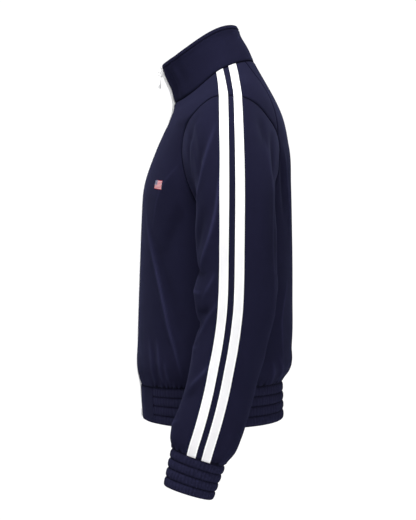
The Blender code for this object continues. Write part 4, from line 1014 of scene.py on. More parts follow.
class Effects:
    """Shader node groups that more than one finish uses, each built once."""

    @staticmethod
    @cache
    def knit() -> bpy.types.NodeTree:
        """Fine ribs of a warp knit, soft mottling, painted shade in seams and troughs and a painted highlight
        on crests.
        """
        group, w, given, out = new_group(
            "knit_face", {"Colour": "Color", "Rib": "Float", "Mottle": "Float", "Painted Shade Gain": "Float"},
            {"Colour": "Color", "Roughness": "Float", "Height": "Float"})
        flat = w.flat()
        turns = w.math("DIVIDE", 2 * math.pi, given.outputs["Rib"])
        ribs = w.math("SINE", w.math("MULTIPLY", flat.outputs[0], turns))
        courses = w.math("SINE", w.math("MULTIPLY", flat.outputs[1], w.math("MULTIPLY", turns, 0.8)))
        where = w.add("ShaderNodeTexCoord").outputs["Object"]
        clouds = w.add("ShaderNodeTexNoise", {"Vector": where, "Scale": 26.0, "Detail": 3.0,
                                              "Roughness": 0.6})
        lint = w.add("ShaderNodeTexNoise", {"Vector": where, "Scale": 900.0, "Detail": 2.0})
        spread = w.swing(clouds, given.outputs["Mottle"])
        light = w.math("ADD", 1.0, w.math("ADD", spread, w.swing(lint, 0.12)))
        # Painted light: the seam attribute darkens the colour as painted shade in seams and troughs and
        # lightens it as a painted highlight on fold crests.
        seam = w.add("ShaderNodeAttribute", attribute_name="seam").outputs["Fac"]
        dark = w.math("SUBTRACT", 1.0, w.math("MULTIPLY", seam, given.outputs["Painted Shade Gain"]))
        pattern = w.math("ADD", w.math("MULTIPLY", ribs, 0.35), w.math("MULTIPLY", courses, 0.2))
        w.output(out, Colour=w.shaded(w.shaded(given.outputs["Colour"], light), dark),
                 Roughness=w.math("ADD", 0.58, w.math("MULTIPLY", spread, 0.8)),
                 Height=w.math("ADD", pattern, w.math("MULTIPLY", lint.outputs[0], 0.6)))
        return group

    @staticmethod
    @cache
    def grain() -> bpy.types.NodeTree:
        """Fine grain and soft wear of a moulded or cast surface."""
        group, w, given, out = new_group(
            "moulded_grain", {"Colour": "Color", "Roughness": "Float", "Scale": "Float", "Wear": "Float"},
            {"Colour": "Color", "Roughness": "Float", "Height": "Float"})
        where = w.add("ShaderNodeTexCoord").outputs["Object"]
        grain = w.add("ShaderNodeTexNoise", {"Vector": where, "Scale": given.outputs["Scale"], "Detail": 4.0})
        clouds = w.add("ShaderNodeTexNoise", {"Vector": where, "Scale": 120.0, "Detail": 2.0})
        worn = w.swing(clouds, given.outputs["Wear"])
        rough = w.math("ADD", given.outputs["Roughness"], w.math("MULTIPLY", worn, 0.6))
        w.output(out, Colour=w.shaded(given.outputs["Colour"], w.math("ADD", 1.0, worn)), Roughness=rough,
                 Height=grain.outputs[0])
        return group


@dataclass(frozen=True)
class Finish:
    """What a piece is made of."""

    name: str
    slot: str
    colour: Triple

    def material(self) -> bpy.types.Material:
        """The finish's material, made once."""
        found = bpy.data.materials.get(self.name)
        if found is not None:
            return found
        made = bpy.data.materials.new(self.name)
        made.use_nodes = True
        weaver = Weaver(made.node_tree)
        self.dress(weaver, made.node_tree.nodes["Principled BSDF"])
        return made

    def dress(self, weaver: Weaver, shader: Node) -> None:
        """Set the shader up; each kind of finish has its own way."""
        shader.inputs["Base Color"].default_value = (*self.colour, 1.0)

    def bump(self, weaver: Weaver, shader: Node, height: Socket,
             depth: float) -> None:
        """Let a height shape the shader's normal."""
        bump = weaver.add("ShaderNodeBump", {"Height": height, "Strength": 0.6, "Distance": depth})
        weaver.output(shader, Normal=bump.outputs[0])

    def face(self, weaver: Weaver, shader: Node, effect: bpy.types.NodeTree,
             inputs: dict) -> Node:
        """Add an effect from which the shader takes its colour and roughness.

        Args:
            weaver: adds the nodes.
            shader: the material's shader.
            effect: the effect's node group.
            inputs: the effect's values.

        Returns:
            The effect's node.
        """
        face = weaver.add("ShaderNodeGroup", inputs, node_tree=effect)
        weaver.output(shader, **{"Base Color": face.outputs["Colour"]}, Roughness=face.outputs["Roughness"])
        return face


@dataclass(frozen=True)
class KnitFinish(Finish):
    """A matt warp knit."""

    rib: float = 0.0011
    mottle: float = 0.16
    # how strongly the seam attribute's painted shade and painted highlight change the colour
    painted_shade_gain: float = 0.78
    sheen: float = 0.045
    gloss: float = 0.0
    tint: Triple = (0.50, 0.53, 1.0)
    depth: float = 0.00005

    def dress(self, weaver: Weaver, shader: Node) -> None:
        """Ribs, mottling, painted shade and highlight from the seam attribute, and a soft sheen."""
        face = self.face(weaver, shader, Effects.knit(), {
            "Colour": (*self.colour, 1.0), "Rib": self.rib, "Mottle": self.mottle,
            "Painted Shade Gain": self.painted_shade_gain})
        tint = (*self.tint, 1.0)
        for label, value in (("Specular IOR Level", self.gloss), ("Specular Tint", tint),
                             ("Sheen Weight", self.sheen), ("Sheen Roughness", 0.45), ("Sheen Tint", tint)):
            shader.inputs[label].default_value = value
        self.bump(weaver, shader, face.outputs["Height"], self.depth)


@dataclass(frozen=True)
class TapeFinish(Finish):
    """A woven tape with firm borders; across runs from 0 to 1 over its width."""

    border: float = 0.13
    middle: Triple = (0.77, 0.765, 0.78)

    def dress(self, weaver: Weaver, shader: Node) -> None:
        """Cross ribs, and borders a little whiter than the middle."""
        flat = weaver.flat()
        off = weaver.math("ABSOLUTE", weaver.math("SUBTRACT", flat.outputs[0], 0.5))
        edge = weaver.add("ShaderNodeMapRange", {"Value": off, "From Min": 0.5 - self.border - 0.05,
                                                 "From Max": 0.5 - self.border + 0.05}).outputs[0]
        ribs = weaver.math("SINE", weaver.math("MULTIPLY", flat.outputs[1], 2 * math.pi / 0.0012))
        face = self.face(weaver, shader, Effects.knit(), {
            "Colour": weaver.mix(edge, (*self.middle, 1.0), (*self.colour, 1.0)),
            "Rib": 0.05, "Mottle": 0.03, "Painted Shade Gain": 0.25})
        shader.inputs["Sheen Weight"].default_value = 0.1
        self.bump(weaver, shader, weaver.math("ADD", ribs, face.outputs["Height"]), 0.00006)


@dataclass(frozen=True)
class HardFinish(Finish):
    """Moulded plastic or cast metal."""

    roughness: float = 0.4
    metallic: float = 0.0
    grain: float = 1500.0
    wear: float = 0.12
    gloss: float = 0.5

    def dress(self, weaver: Weaver, shader: Node) -> None:
        """Fine grain and soft wear."""
        face = self.face(weaver, shader, Effects.grain(), {
            "Colour": (*self.colour, 1.0), "Roughness": self.roughness, "Scale": self.grain,
            "Wear": self.wear})
        shader.inputs["Metallic"].default_value = self.metallic
        shader.inputs["Specular IOR Level"].default_value = self.gloss
        self.bump(weaver, shader, face.outputs["Height"], 0.00004)


@dataclass(frozen=True)
class FlagFinish(Finish):
    """Embroidered stripes beside a blue corner with rows of pale dots."""

    white: Triple = (0.66, 0.56, 0.58)
    blue: Triple = (0.06, 0.09, 0.20)
    stripes: int = 13
    corner_width: float = 0.40
    corner_height: float = 7 / 13

    def dress(self, weaver: Weaver, shader: Node) -> None:
        """Stripes and the corner from the patch's own across and along, both from 0 to 1."""
        w = weaver
        flat = w.flat()
        row = w.math("FLOOR", w.math("MULTIPLY", flat.outputs[1], self.stripes))
        pale = w.math("GREATER_THAN", w.math("MODULO", row, 2.0), 0.5)
        cloth = w.mix(pale, (*self.colour, 1.0), (*self.white, 1.0))
        beside = w.math("LESS_THAN", flat.outputs[0], self.corner_width)
        high = w.math("GREATER_THAN", flat.outputs[1], 1 - self.corner_height)
        dots = [w.math("SINE", w.math("MULTIPLY", flat.outputs[k], 2 * math.pi * count / size))
                for k, count, size in ((0, 6, self.corner_width), (1, 5, self.corner_height))]
        dot = w.math("GREATER_THAN", w.math("MULTIPLY", dots[0], dots[1]), 0.45)
        corner = w.mix(dot, (*self.blue, 1.0), (*self.white, 1.0))
        colour = w.mix(w.math("MULTIPLY", beside, high), cloth, corner)
        w.output(shader, **{"Base Color": colour})
        shader.inputs["Roughness"].default_value = 0.62
        threads = w.math("SINE", w.math("MULTIPLY", flat.outputs[0], 2 * math.pi * 60))
        self.bump(w, shader, threads, 0.00012)


NAVY = KnitFinish("navy_knit", "navy_cloth", (0.0104, 0.0104, 0.0258))
NAVY_BAND = KnitFinish("navy_elastic", "navy_cloth", (0.0138, 0.0138, 0.0332), rib=0.0014)
WHITE_TAPE = TapeFinish("white_tape_weave", "white_tape", (0.93, 0.93, 0.94))
ZIP_CLOTH = KnitFinish("zip_tape_weave", "white_tape", (0.84, 0.84, 0.85), rib=0.0008, mottle=0.03,
                       gloss=0.3, tint=(1.0, 1.0, 1.0))
TEETH = HardFinish("zip_teeth", "zip_plastic", (0.88, 0.88, 0.89), roughness=0.35)
METAL = HardFinish("zip_metal_cast", "zip_metal", (0.88, 0.88, 0.89), roughness=0.35, metallic=0.3)
NAVY_THREAD = HardFinish("navy_thread", "navy_cloth", (0.010, 0.0105, 0.024), roughness=0.8, grain=2500.0,
                         gloss=0.02)
# Thread darker than the cloth in the seams' grooves: real seam stitching, and also a painted shadow of the
# groove.
SEAM_SHADE_THREAD = HardFinish("seam_thread", "navy_cloth", (0.0036, 0.0036, 0.0085), roughness=0.9, grain=2500.0,
                         gloss=0.0)
WHITE_THREAD = HardFinish("white_thread", "white_tape", (0.9, 0.9, 0.91), roughness=0.65, grain=2500.0)
FLAG = FlagFinish("flag_embroidery", "white_tape", (0.64, 0.035, 0.055))


# -------- stitching


@dataclass
class Stitches:
    """Runs of stitches, each a short rounded thread that lies on the cloth."""

    name: str
    finish: Finish
    length: float = 0.0026
    pitch: float = 0.0036
    radius: float = 0.00030
    sides: int = 4
    centres: list[Array] = field(default_factory=list)
    frames: list[Array] = field(default_factory=list)

    def run(self, line: Array, normals: Array) -> None:
        """Sew along a line.

        Args:
            line: points of the line on the cloth.
            normals: the cloth's outward normal at each.
        """
        along = lengths_along(line)
        places, half = np.arange(self.pitch / 2, along[-1], self.pitch), self.length / 2
        ahead = unit(read_line(line, along, places + half) - read_line(line, along, places - half))
        out = read_line(normals, along, places)
        out = unit(out - ahead * np.sum(out * ahead, axis=1, keepdims=True))
        self.centres.append(read_line(line, along, places))
        self.frames.append(np.stack([ahead, np.cross(out, ahead), out], axis=2))

    def build(self) -> None:
        """Make all the stitches as one piece."""
        angles = np.arange(self.sides) * 2 * math.pi / self.sides
        shape, rows = [(-self.length / 2, 0.0, -self.radius * 0.6)], 3  # two tips and three rings
        for share, size, rise in ((-0.36, 0.85, 0.1), (0.0, 1.0, 0.35), (0.36, 0.85, 0.1)):
            shape += [(share * self.length, size * self.radius * math.cos(a),
                       self.radius * (size * math.sin(a) + rise)) for a in angles]
        shape.append((self.length / 2, 0.0, -self.radius * 0.6))
        last = len(shape) - 1
        faces = [(0, 1 + (k + 1) % self.sides, 1 + k, 1 + k) for k in range(self.sides)]
        for row in range(rows - 1):
            start = 1 + row * self.sides
            for k in range(self.sides):
                n = (k + 1) % self.sides
                faces.append((start + k, start + n, start + self.sides + n, start + self.sides + k))
        start = 1 + (rows - 1) * self.sides
        faces += [(start + k, start + (k + 1) % self.sides, last, last) for k in range(self.sides)]
        centres, frames = np.concatenate(self.centres), np.concatenate(self.frames)
        points = np.einsum("nij,mj->nmi", frames, np.array(shape)) + centres[:, None]
        numbers = np.array(faces)[None] + (np.arange(len(centres)) * len(shape))[:, None, None]
        quads = [list(dict.fromkeys(q)) for q in numbers.reshape(-1, 4).tolist()]
        mesh = bpy.data.meshes.new(self.name)
        mesh.from_pydata(points.reshape(-1, 3).tolist(), [], quads)
        mesh.shade_smooth()
        new_piece(self.name, mesh, self.finish)


# -------- cloth pieces


@dataclass(frozen=True)
class Cut:
    """The size that a piece of cloth was cut to: a rectangle round it, and its area."""

    width: float
    length: float
    held: str
    area: float | None = None

    def declare(self, piece: Piece, node: str, *rests_on: str) -> None:
        """Hide the frame's node that a piece stands for."""
        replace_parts(piece, node)


@dataclass
class Shell:
    """The two fronts and the back."""

    form: BodyForm
    cloth: float = 0.0016
    hem_gathers: tuple[Puckers, Puckers] = (Puckers(11, 0.0100, 0.013, 0.0030, 0.0034),
                                            Puckers(29, 0.0105, 0.014, 0.0031, 0.0034))
    tab_edge: float = HEM_TAB_END
    seed: int = 41
    neck_fade: float = 0.012
    front_fade: float = 0.02
    front_dip: float = 0.0004
    centre_blend: float = 0.012
    half_back: float = 0.26
    thread_lift: float = 0.0003
    front_cut: Cut = Cut(0.36, 0.74, "draped", 0.190)
    back_cut: Cut = Cut(0.56, 0.66, "draped", 0.290)
    seams: dict[Side, SeamNet] = field(default_factory=dict)

    def raised(self, around: Array, up: Array, side: Side, seam: bool = True) -> tuple[Array, Array]:
        """Points of the body with its folds, gathers and seams.

        Args:
            around: degrees from the centre front.
            up: metres from the hem seam.
            side: which side.
            seam: whether the groove along the seams is cut.

        Returns:
            The points, and the painted shade of each: above 0 in seams and troughs, below 0 a painted
            highlight on crests.
        """
        base, normals = self.form.point(around, up), self.form.normal(around, up)
        per_degree = self.form.girth / 180
        creases = creases_of(side, BODY_CREASES, per_degree, self.seed)
        relief, painted_fold_light = sum_creases(creases, around, base[..., 2], per_degree)
        gathers = self.hem_gathers[0 if side is Side.LEFT else 1]
        gathered = gathers.relief(around * per_degree, up, self.form.girth) * ease(
            self.tab_edge - 3, self.tab_edge + 3, around)
        relief = relief + gathered
        # Painted highlight on the puckers' ridges and painted shade in the dips between them.
        painted_fold_light = painted_fold_light + GATHER_PAINTED_HIGHLIGHT * gathered + gathers.painted_notch_shade(gathered, up)
        relief *= ease(0.0, self.neck_fade, self.form.top - up)
        edge = np.abs(base[..., 0]) - self.form.front_edge
        at_front = (around < 90) * np.exp(-(np.clip(edge, 0, None) / 0.0012) ** 2)
        fade = ease(0.0, self.front_fade, np.where(around < 90, edge, 1.0))
        relief = relief * fade - self.front_dip * at_front
        shade = np.zeros(around.shape)
        if seam:
            away = self.seams[side].distance(base)
            relief = relief + self.seams[side].groove(away)
            shade = self.seams[side].shade(away)
        # Painted shade in the seams' grooves, with the painted fold light taken off it.
        return (base + relief[..., None] * normals) * side.flip, shade - PAINTED_FOLD_LIGHT_GAIN * painted_fold_light

    def lay_seams(self, threads: Stitches) -> None:
        """Lay out the seams of both sides, with the thread that lies in each.

        Args:
            threads: the stitching in the seams, darker than the cloth, partly a painted shadow of their
                grooves.
        """
        form = self.form
        lines = {"armhole": np.concatenate([form.stops, form.stops[:1]]), "side": form.side_line(),
                 "shoulder": form.seam_line()}
        around = np.linspace(np.degrees(form.front_edge / form.rings[0].half_width), 180, 181)
        lines["hem"] = np.stack([around, np.zeros(181)], axis=1)
        lines["neck"] = np.stack([around, np.full(181, form.top)], axis=1)
        for side in Side:
            net = SeamNet()
            for line in lines.values():
                net.add(form.point(line[:, 0], line[:, 1]))
            net.close()
            self.seams[side] = net
            for line in lines.values():
                points, _ = self.raised(line[:, 0], line[:, 1], side)
                out = form.normal(line[:, 0], line[:, 1]) * side.flip
                threads.run(points + self.thread_lift * out, out)

    def front(self, side: Side) -> Array:
        """Make a front; returns its strip over the shoulder."""
        around, up = self.form.front_places()
        over_around, over_up = self.form.shoulder_places()
        points, shade = self.raised(around, up, side)
        points[:, 0, 0] = side.value * self.form.front_edge
        over, over_shade = self.raised(over_around, over_up, side)
        first = self.form.neck_front_cells
        over[0] = points[-1, first:]
        cloth = Cloth()
        cloth.add_grid(points, shade, wind=Wind.PLAIN.on(side))
        cloth.add_grid(over, over_shade, wind=Wind.PLAIN.on(side))
        piece = cloth.build(f"front_{side.word}_cloth", self.cloth, NAVY)
        self.front_cut.declare(piece, f"front_{side.word}", "collar_cloth")
        return over

    def back(self) -> None:
        """Make the back, as two halves that share the centre back line."""
        around, up = self.form.back_places()
        cloth, centre = Cloth(), None
        for side in Side:
            points, shade = self.raised(around, up, side)
            points[:, 0, 0] = 0.0
            centre = points[:, 0].copy() if centre is None else centre
            away = np.linspace(0, self.half_back, points.shape[1])
            blend = np.exp(-(away / self.centre_blend) ** 2)[None, :, None]
            points = points + (centre[:, None] - points[:, :1]) * blend
            cloth.add_grid(points, shade, wind=Wind.TURNED.on(side))
        self.back_cut.declare(cloth.build("back_cloth", self.cloth, NAVY), "back", "collar_cloth")


@dataclass
class Sleeve:
    """A sleeve with its two tapes."""

    side: Side
    shell: Shell
    cloth: float = 0.0016
    tape_width: float = 0.0149
    tape_space: float = 0.0107
    tape_cloth: float = 0.0009
    lay_gap: float = 0.0003
    cap_cells: int = 44
    arm_cells: int = 128
    cap_slope: float = 0.45
    cap_leaves: float = 0.5
    cap_pull: float = 1.15
    cap_straight: int = 8
    seed: int = 43
    armhole_fade: float = 0.014
    cuff_fade: float = 0.006
    gathers: tuple[Puckers, Puckers] = (Puckers(5, 0.0110, 0.010, 0.0030, 0.0030),
                                        Puckers(17, 0.0115, 0.011, 0.0031, 0.0030))
    cut: Cut = Cut(0.46, 0.64, "draped", 0.250)
    tape_cut: Cut = Cut(0.0153, 0.780, "stretched")

    def section(self, values: Array, shares: Array) -> Array:
        """Points round one section, with the tapes' edges at their real width."""
        line = oval_line(values, self.side)
        along = lengths_along(line)
        inner = self.tape_space / 2
        outer, total, form = inner + self.tape_width, along[-1], self.shell.form
        free = total - 2 * outer
        places = np.concatenate([
            np.linspace(inner, outer, form.tape_cells, endpoint=False), outer + free * shares[:-1],
            np.linspace(total - outer, total - inner, form.tape_cells, endpoint=False),
            np.linspace(total - inner, total + inner, form.space_cells, endpoint=False)]) % total
        return read_line(line, along, places)

    def grid(self) -> tuple[Array, Array]:
        """The sleeve's surface before its folds: rows from the armhole to the cuff seam."""
        form, side = self.shell.form, self.side
        marks = form.marks
        start, _ = self.shell.raised(form.stops[:, 0], form.stops[:, 1], side)
        base = form.point(form.stops[:, 0], form.stops[:, 1]) * side.flip
        normals = form.normal(form.stops[:, 0], form.stops[:, 1]) * side.flip
        along = lengths_along(base[marks[1]:marks[4] + 1])
        shares = along / along[-1]
        stations = lengths_along(np.array([((o.front_y + o.back_y) / 2, (o.front_z + o.back_z) / 2)
                                           for o in SLEEVE_OVALS]))
        values = smooth(stations, np.array([astuple(o)[1:] for o in SLEEVE_OVALS]),
                        np.linspace(0, stations[-1], self.arm_cells + 1))
        ovals = [self.section(row, shares) for row in values]
        first = ovals[0]
        across = unit(np.roll(base, -6, axis=0) - np.roll(base, 6, axis=0))
        into = unit(np.cross(normals, across))
        into *= np.sign(np.sum(into * (base.mean(axis=0) - base), axis=-1, keepdims=True))
        height = (base[:, 2] - base[:, 2].min()) / np.ptp(base[:, 2])
        outward = unit(np.array([side.value, 0, 0]) - self.cap_slope * height[:, None] * np.array([0, 0, 1]))
        keep = self.cap_leaves * height[:, None]
        leave = keep * into + (1 - keep) * outward
        leave[:, 1] *= 1 - height ** self.cap_straight
        leave = unit(leave)
        arrive = unit(ovals[7] - first)
        reach = self.cap_pull * np.linalg.norm(first - base, axis=1, keepdims=True)
        rows = []
        for t in np.linspace(0, 1, self.cap_cells + 1)[:-1]:
            begin = base + (start - base) * (1 - t) ** 12
            rows.append((1 + 2 * t) * (1 - t) ** 2 * begin + t * (1 - t) ** 2 * reach * leave
                        + t * t * (3 - 2 * t) * first - t * t * (1 - t) * reach * arrive)
        return np.array(rows + ovals), start

    def folded(self) -> tuple[Array, Array]:
        """The sleeve's surface with its folds, and the painted shade of each point, below 0 a painted
        highlight.
        """
        grid, start = self.grid()
        normals = self.normals(grid)
        steps = np.linalg.norm(np.diff(grid, axis=1, append=grid[:, :1]), axis=-1)
        total = steps.sum(axis=1, keepdims=True)
        behind = np.cumsum(steps, axis=1) - steps + self.tape_space / 2
        across = np.where(behind < total / 2, -behind, total - behind)
        down = lengths_along(grid)
        to_cuff = down[-1] - down
        creases = creases_of(self.side, SLEEVE_CREASES, 1.0, self.seed)
        relief, painted_fold_light = sum_creases(creases, across, grid[..., 2], 1.0)
        gathers = self.gathers[0 if self.side is Side.LEFT else 1]
        tapes = 1 - 0.75 * ease(0.030, 0.022, np.abs(across))
        cuff = float(total[-1, 0])
        gathered = gathers.relief(behind / total * cuff, to_cuff, cuff) * tapes
        relief = relief + gathered
        painted_fold_light = painted_fold_light + GATHER_PAINTED_HIGHLIGHT * gathered + gathers.painted_notch_shade(gathered, to_cuff)
        relief *= ease(0.0, self.armhole_fade, down) * ease(0.0, self.cuff_fade, to_cuff)
        net = SeamNet()
        for line in (np.concatenate([grid[0], grid[0, :1]]), np.concatenate([grid[-1], grid[-1, :1]]),
                     grid[:, self.shell.form.marks[3]]):
            net.add(line)
        net.close()
        away = net.distance(grid)
        relief += net.groove(away) * ease(0.0, 0.003, down)
        grid = grid + relief[..., None] * normals
        grid[0] = start
        # Painted shade in the seams' grooves, with the painted fold light taken off it.
        return grid, net.shade(away) - PAINTED_FOLD_LIGHT_GAIN * painted_fold_light

    def normals(self, grid: Array) -> Array:
        """Outward normals of the sleeve's grid."""
        across = np.roll(grid, -1, axis=1) - np.roll(grid, 1, axis=1)
        return unit(np.cross(np.gradient(grid, axis=0), across)) * self.side.value

    def build(self, over: Array, threads: Stitches) -> None:
        """Make the sleeve and its tapes.

        Args:
            over: the front's strip over the shoulder, on which the tapes begin.
            threads: the stitching along the tapes.
        """
        grid, shade = self.folded()
        cloth, word = Cloth(), self.side.word
        cloth.add_grid(grid, shade, closed=True, wind=Wind.TURNED.on(self.side))
        piece = cloth.build(f"sleeve_{word}_cloth", self.cloth, NAVY)
        self.cut.declare(piece, f"sleeve_{word}", f"front_{word}_cloth")
        form, marks = self.shell.form, self.shell.form.marks
        second = form.tape_cells + form.space_cells
        spans = {"front": (slice(0, form.tape_cells + 1), slice(marks[4], marks[5] + 1)),
                 "back": (slice(second, second + form.tape_cells + 1), slice(0, marks[1] + 1))}
        for name, (rows, columns) in spans.items():
            upper, lower = over[rows, :-1].swapaxes(0, 1), grid[:, columns]
            self.tape(name, np.concatenate([upper, lower[:1], lower[3:]]), threads)

    def tape(self, word: str, strip: Array, threads: Stitches) -> None:
        """One white tape, laid on the shoulder and the sleeve.

        Args:
            word: front or back.
            strip: the cloth's points under the tape, from the neck seam down.
            threads: the stitching along its edges.
        """
        strip = evened(strip)
        rows, columns = strip.shape[:2]
        shares = np.linspace(0, 1, columns)
        flat = np.stack([np.broadcast_to(shares, (rows, columns)), lengths_along(strip)], axis=-1)
        facing = unit(np.cross(np.gradient(strip, axis=0), np.gradient(strip, axis=1))) * self.side.value
        if np.mean(facing[..., 0]) * self.side.value < 0:
            facing = -facing
        from_edge = 0.5 - np.abs(shares - 0.5)
        border = np.exp(-((from_edge - 0.06) / 0.07) ** 2)
        stitched = np.exp(-((from_edge - 0.15) / 0.03) ** 2)
        rise = self.lay_gap + self.tape_cloth + 0.00018 * border - 0.00022 * stitched
        outer = strip + rise[None, :, None] * facing
        cloth = Cloth()
        cloth.add_grid(outer, flat=flat, wind=Wind.TURNED.on(self.side))
        side = self.side.word
        piece = cloth.build(f"tape_{side}_{word}_weave", self.tape_cloth, WHITE_TAPE)
        self.tape_cut.declare(piece, f"tape_{side}_{word}", f"sleeve_{side}_cloth", f"front_{side}_cloth")
        for share in (0.13, 0.87):
            place = share * (columns - 1)
            low = int(place)
            line = outer[:, low] * (1 - place + low) + outer[:, low + 1] * (place - low)
            threads.run(line, facing[:, low])


@dataclass
class Collar:
    """The standing collar, with a row of stitching under its top edge."""

    form: RingSurface
    cloth: float = 0.0011
    double: float = 0.0026
    front_edge: float = FRONT_EDGE
    stitch_drop: float = 0.0078
    cells_fold: int = 6
    cells_up: int = 34
    cells_round: int = 130
    top_roll: float = 0.0011
    hollow_reach: float = 0.42
    right_shift: float = 4.0
    hollows: tuple[tuple[float, float, float, float], ...] = (
        (30.0, 0.45, 7.0, -0.0030), (47.0, 0.62, 8.0, -0.0028), (39.0, 0.50, 7.0, 0.0016),
        (75.0, 0.35, 16.0, -0.0016), (128.0, 0.40, 15.0, -0.0018), (160.0, 0.45, 14.0, 0.0014))
    cut: Cut = Cut(0.150, 0.480, "folded", 0.070)

    def surface(self, around: Array, up: Array, side: Side) -> tuple[Array, Array]:
        """Points of the collar, and the painted shade of each along its stitching and its seam."""
        base, normals = self.form.point(around, up), self.form.normal(around, up)
        share, below = up / self.form.top, self.form.top - up
        relief = np.zeros(around.shape)
        shift = 0.0 if side is Side.LEFT else self.right_shift
        for angle, height, width, depth in self.hollows:
            off = ((around - angle - shift) / width) ** 2 + ((share - height) / self.hollow_reach) ** 2
            relief += depth * np.exp(-off)
        drop = self.stitch_drop
        relief += self.top_roll * ease(0.0, drop, below) * ease(2 * drop, drop, below)
        stitched = np.exp(-((below - self.stitch_drop) / 0.0013) ** 2)
        at_seam = np.exp(-(up / 0.0022) ** 2)
        relief -= 0.0013 * stitched + 0.0009 * at_seam
        # Painted shade in the groove of the stitching and along the neck seam.
        return (base + relief[..., None] * normals) * side.flip, np.maximum(0.8 * stitched, at_seam)

    def build(self, threads: Stitches) -> None:
        """Make the collar, with the cloth folded over at its top, and sew its top edge."""
        start = math.degrees(self.front_edge / self.form.rings[0].half_width)
        around = np.linspace(start, 180, self.cells_round + 1)
        high, drop = self.form.top - self.double / 2, self.form.top - self.stitch_drop
        ups = np.concatenate([np.linspace(0, drop - 0.003, self.cells_up - 12, endpoint=False),
                              np.linspace(drop - 0.003, drop + 0.003, 6, endpoint=False),
                              np.linspace(drop + 0.003, high, 7)])
        across, up = np.meshgrid(around, ups)
        halves, shades = [], []
        for side in Side:
            outer, shade = self.surface(across, up, side)
            inner = outer - self.double * self.form.normal(across, up) * side.flip
            rise = unit(outer[-1] - outer[-2])
            middle, reach = (outer[-1] + inner[-1]) / 2, (outer[-1] - inner[-1]) / 2
            turns = np.linspace(0, np.pi, self.cells_fold + 1)[1:-1]
            fold = np.stack([middle + np.cos(a) * reach + np.sin(a) * rise * self.double / 2 for a in turns])
            points = np.concatenate([outer, fold, inner[::-1]])
            points[:, 0, 0], points[:, -1, 0] = side.value * self.front_edge, 0.0
            halves.append(points)
            shades.append(np.concatenate([shade, np.zeros((len(points) - len(shade), shade.shape[1]))]))
        middle = (halves[0][:, -1:] + halves[1][:, -1:]) / 2
        whole = np.concatenate([halves[0][:, :-1], middle, halves[1][:, -2::-1]], axis=1)
        cloth = Cloth()
        cloth.add_grid(whole, np.concatenate([shades[0], shades[1][:, -2::-1]], axis=1))
        piece = cloth.build("collar_cloth", self.cloth, NAVY, rounding=0.5)
        self.cut.declare(piece, "collar", "front_left_cloth", "front_right_cloth", "back_cloth")
        sewn, drops = np.linspace(start + 2.5, 180, 160), np.full(160, drop)
        for side in Side:
            line, _ = self.surface(sewn, drops, side)
            threads.run(line, self.form.normal(sewn, drops) * side.flip)


@dataclass
class GatheredBand:
    """A band of elastic in channels, with the cloth gathered on it."""

    node: str
    gathers: int
    seed: int
    cut: Cut
    rests_on: tuple[str, ...]
    channels: int = 4
    cells_gather: int = 6
    down_channel: tuple[float, ...] = (0.0, 0.05, 0.11, 0.22, 0.38, 0.62, 0.78, 0.89, 0.95)
    puff: float = 0.0021
    ridge: float = 0.0015
    pinch: float = 0.0006
    pinch_width: float = 0.10
    # Painted light in the band's colour: shade in the gathers' troughs, a highlight on their crests and shade
    # along the channel lines.
    painted_trough_shade: float = 0.26
    painted_crest_highlight: float = 0.34
    painted_channel_shade: float = 0.62
    end_share: float = 0.0028
    end_dip: float = 0.0010
    fullness: float = 0.0
    cloth: float = 0.0020

    def build(self, path: "BandPath", closed: bool, threads: Stitches) -> None:
        """Make the band.

        Args:
            path: gives points and outward normals for shares along it and down it.
            closed: whether it goes all round.
            threads: the stitching between its channels.
        """
        rng = np.random.default_rng(self.seed)
        columns = self.gathers * self.cells_gather + (0 if closed else 1)
        share = np.arange(columns) / (self.gathers * self.cells_gather)
        down = [(k + w) / self.channels for k in range(self.channels) for w in self.down_channel]
        down = np.array([*down, 1.0])
        points, normals = path.read(share, down)
        t = down * self.channels
        channel = np.minimum(t.astype(int), self.channels - 1)
        within = t - channel
        body = np.clip(np.sin(np.pi * within), 0, 1) ** 0.55
        heights = rng.uniform(0.5, 1.2, (self.channels, self.gathers))
        shifts = rng.uniform(-0.30, 0.30, (self.channels + 1, self.gathers))
        stops = np.arange(self.gathers)
        relief, shade = np.zeros((len(down), columns)), np.zeros((len(down), columns))
        for row, (c, w, b) in enumerate(zip(channel, within, body)):
            shift = shifts[c] * (1 - w) + shifts[c + 1] * w
            centre = share * self.gathers
            moved = centre + np.interp(centre, stops, shift, period=self.gathers)
            number = np.floor(moved).astype(int) % self.gathers
            arch = np.sin(np.pi * (moved - np.floor(moved)))
            size = heights[c][number]
            pinch = math.exp(-(min(w, 1 - w) / self.pinch_width) ** 2)
            ridges = self.ridge * (0.25 + 0.75 * b) * (size * arch - 0.5)
            relief[row] = self.puff * b + ridges - self.pinch * pinch
            # Painted shade in the troughs and along the channel lines, painted highlight on the gathers'
            # crests.
            shade[row] = size * (self.painted_trough_shade - self.painted_crest_highlight * arch) * b + self.painted_channel_shade * pinch
        if not closed:
            # Painted shade where the band's ends meet the tabs.
            at_end = np.exp(-(np.minimum(share, 1 - share) / self.end_share) ** 2)
            shade, relief = shade + 0.5 * at_end, relief - (relief + self.end_dip) * at_end
        shade = np.clip(shade, -0.4, 1.1)
        shade[-1] = 0
        relief[0] *= 0.4
        relief[-1] = relief[-1] * 0.6 - 0.0004
        cloth = Cloth()
        full = points + (self.fullness + relief)[..., None] * normals
        cloth.add_grid(full, shade, closed=closed, wind=path.wind)
        piece = cloth.build(f"{self.node}_cloth", self.cloth, NAVY_BAND, rounding=0.5)
        self.cut.declare(piece, self.node, *self.rests_on)
        # The threads here are the very dark seam thread, partly a painted shadow along the channel lines.
        for row in range(len(self.down_channel), len(down) - 1, len(self.down_channel)):
            threads.run(points[row] + (self.fullness - self.pinch) * normals[row], normals[row])


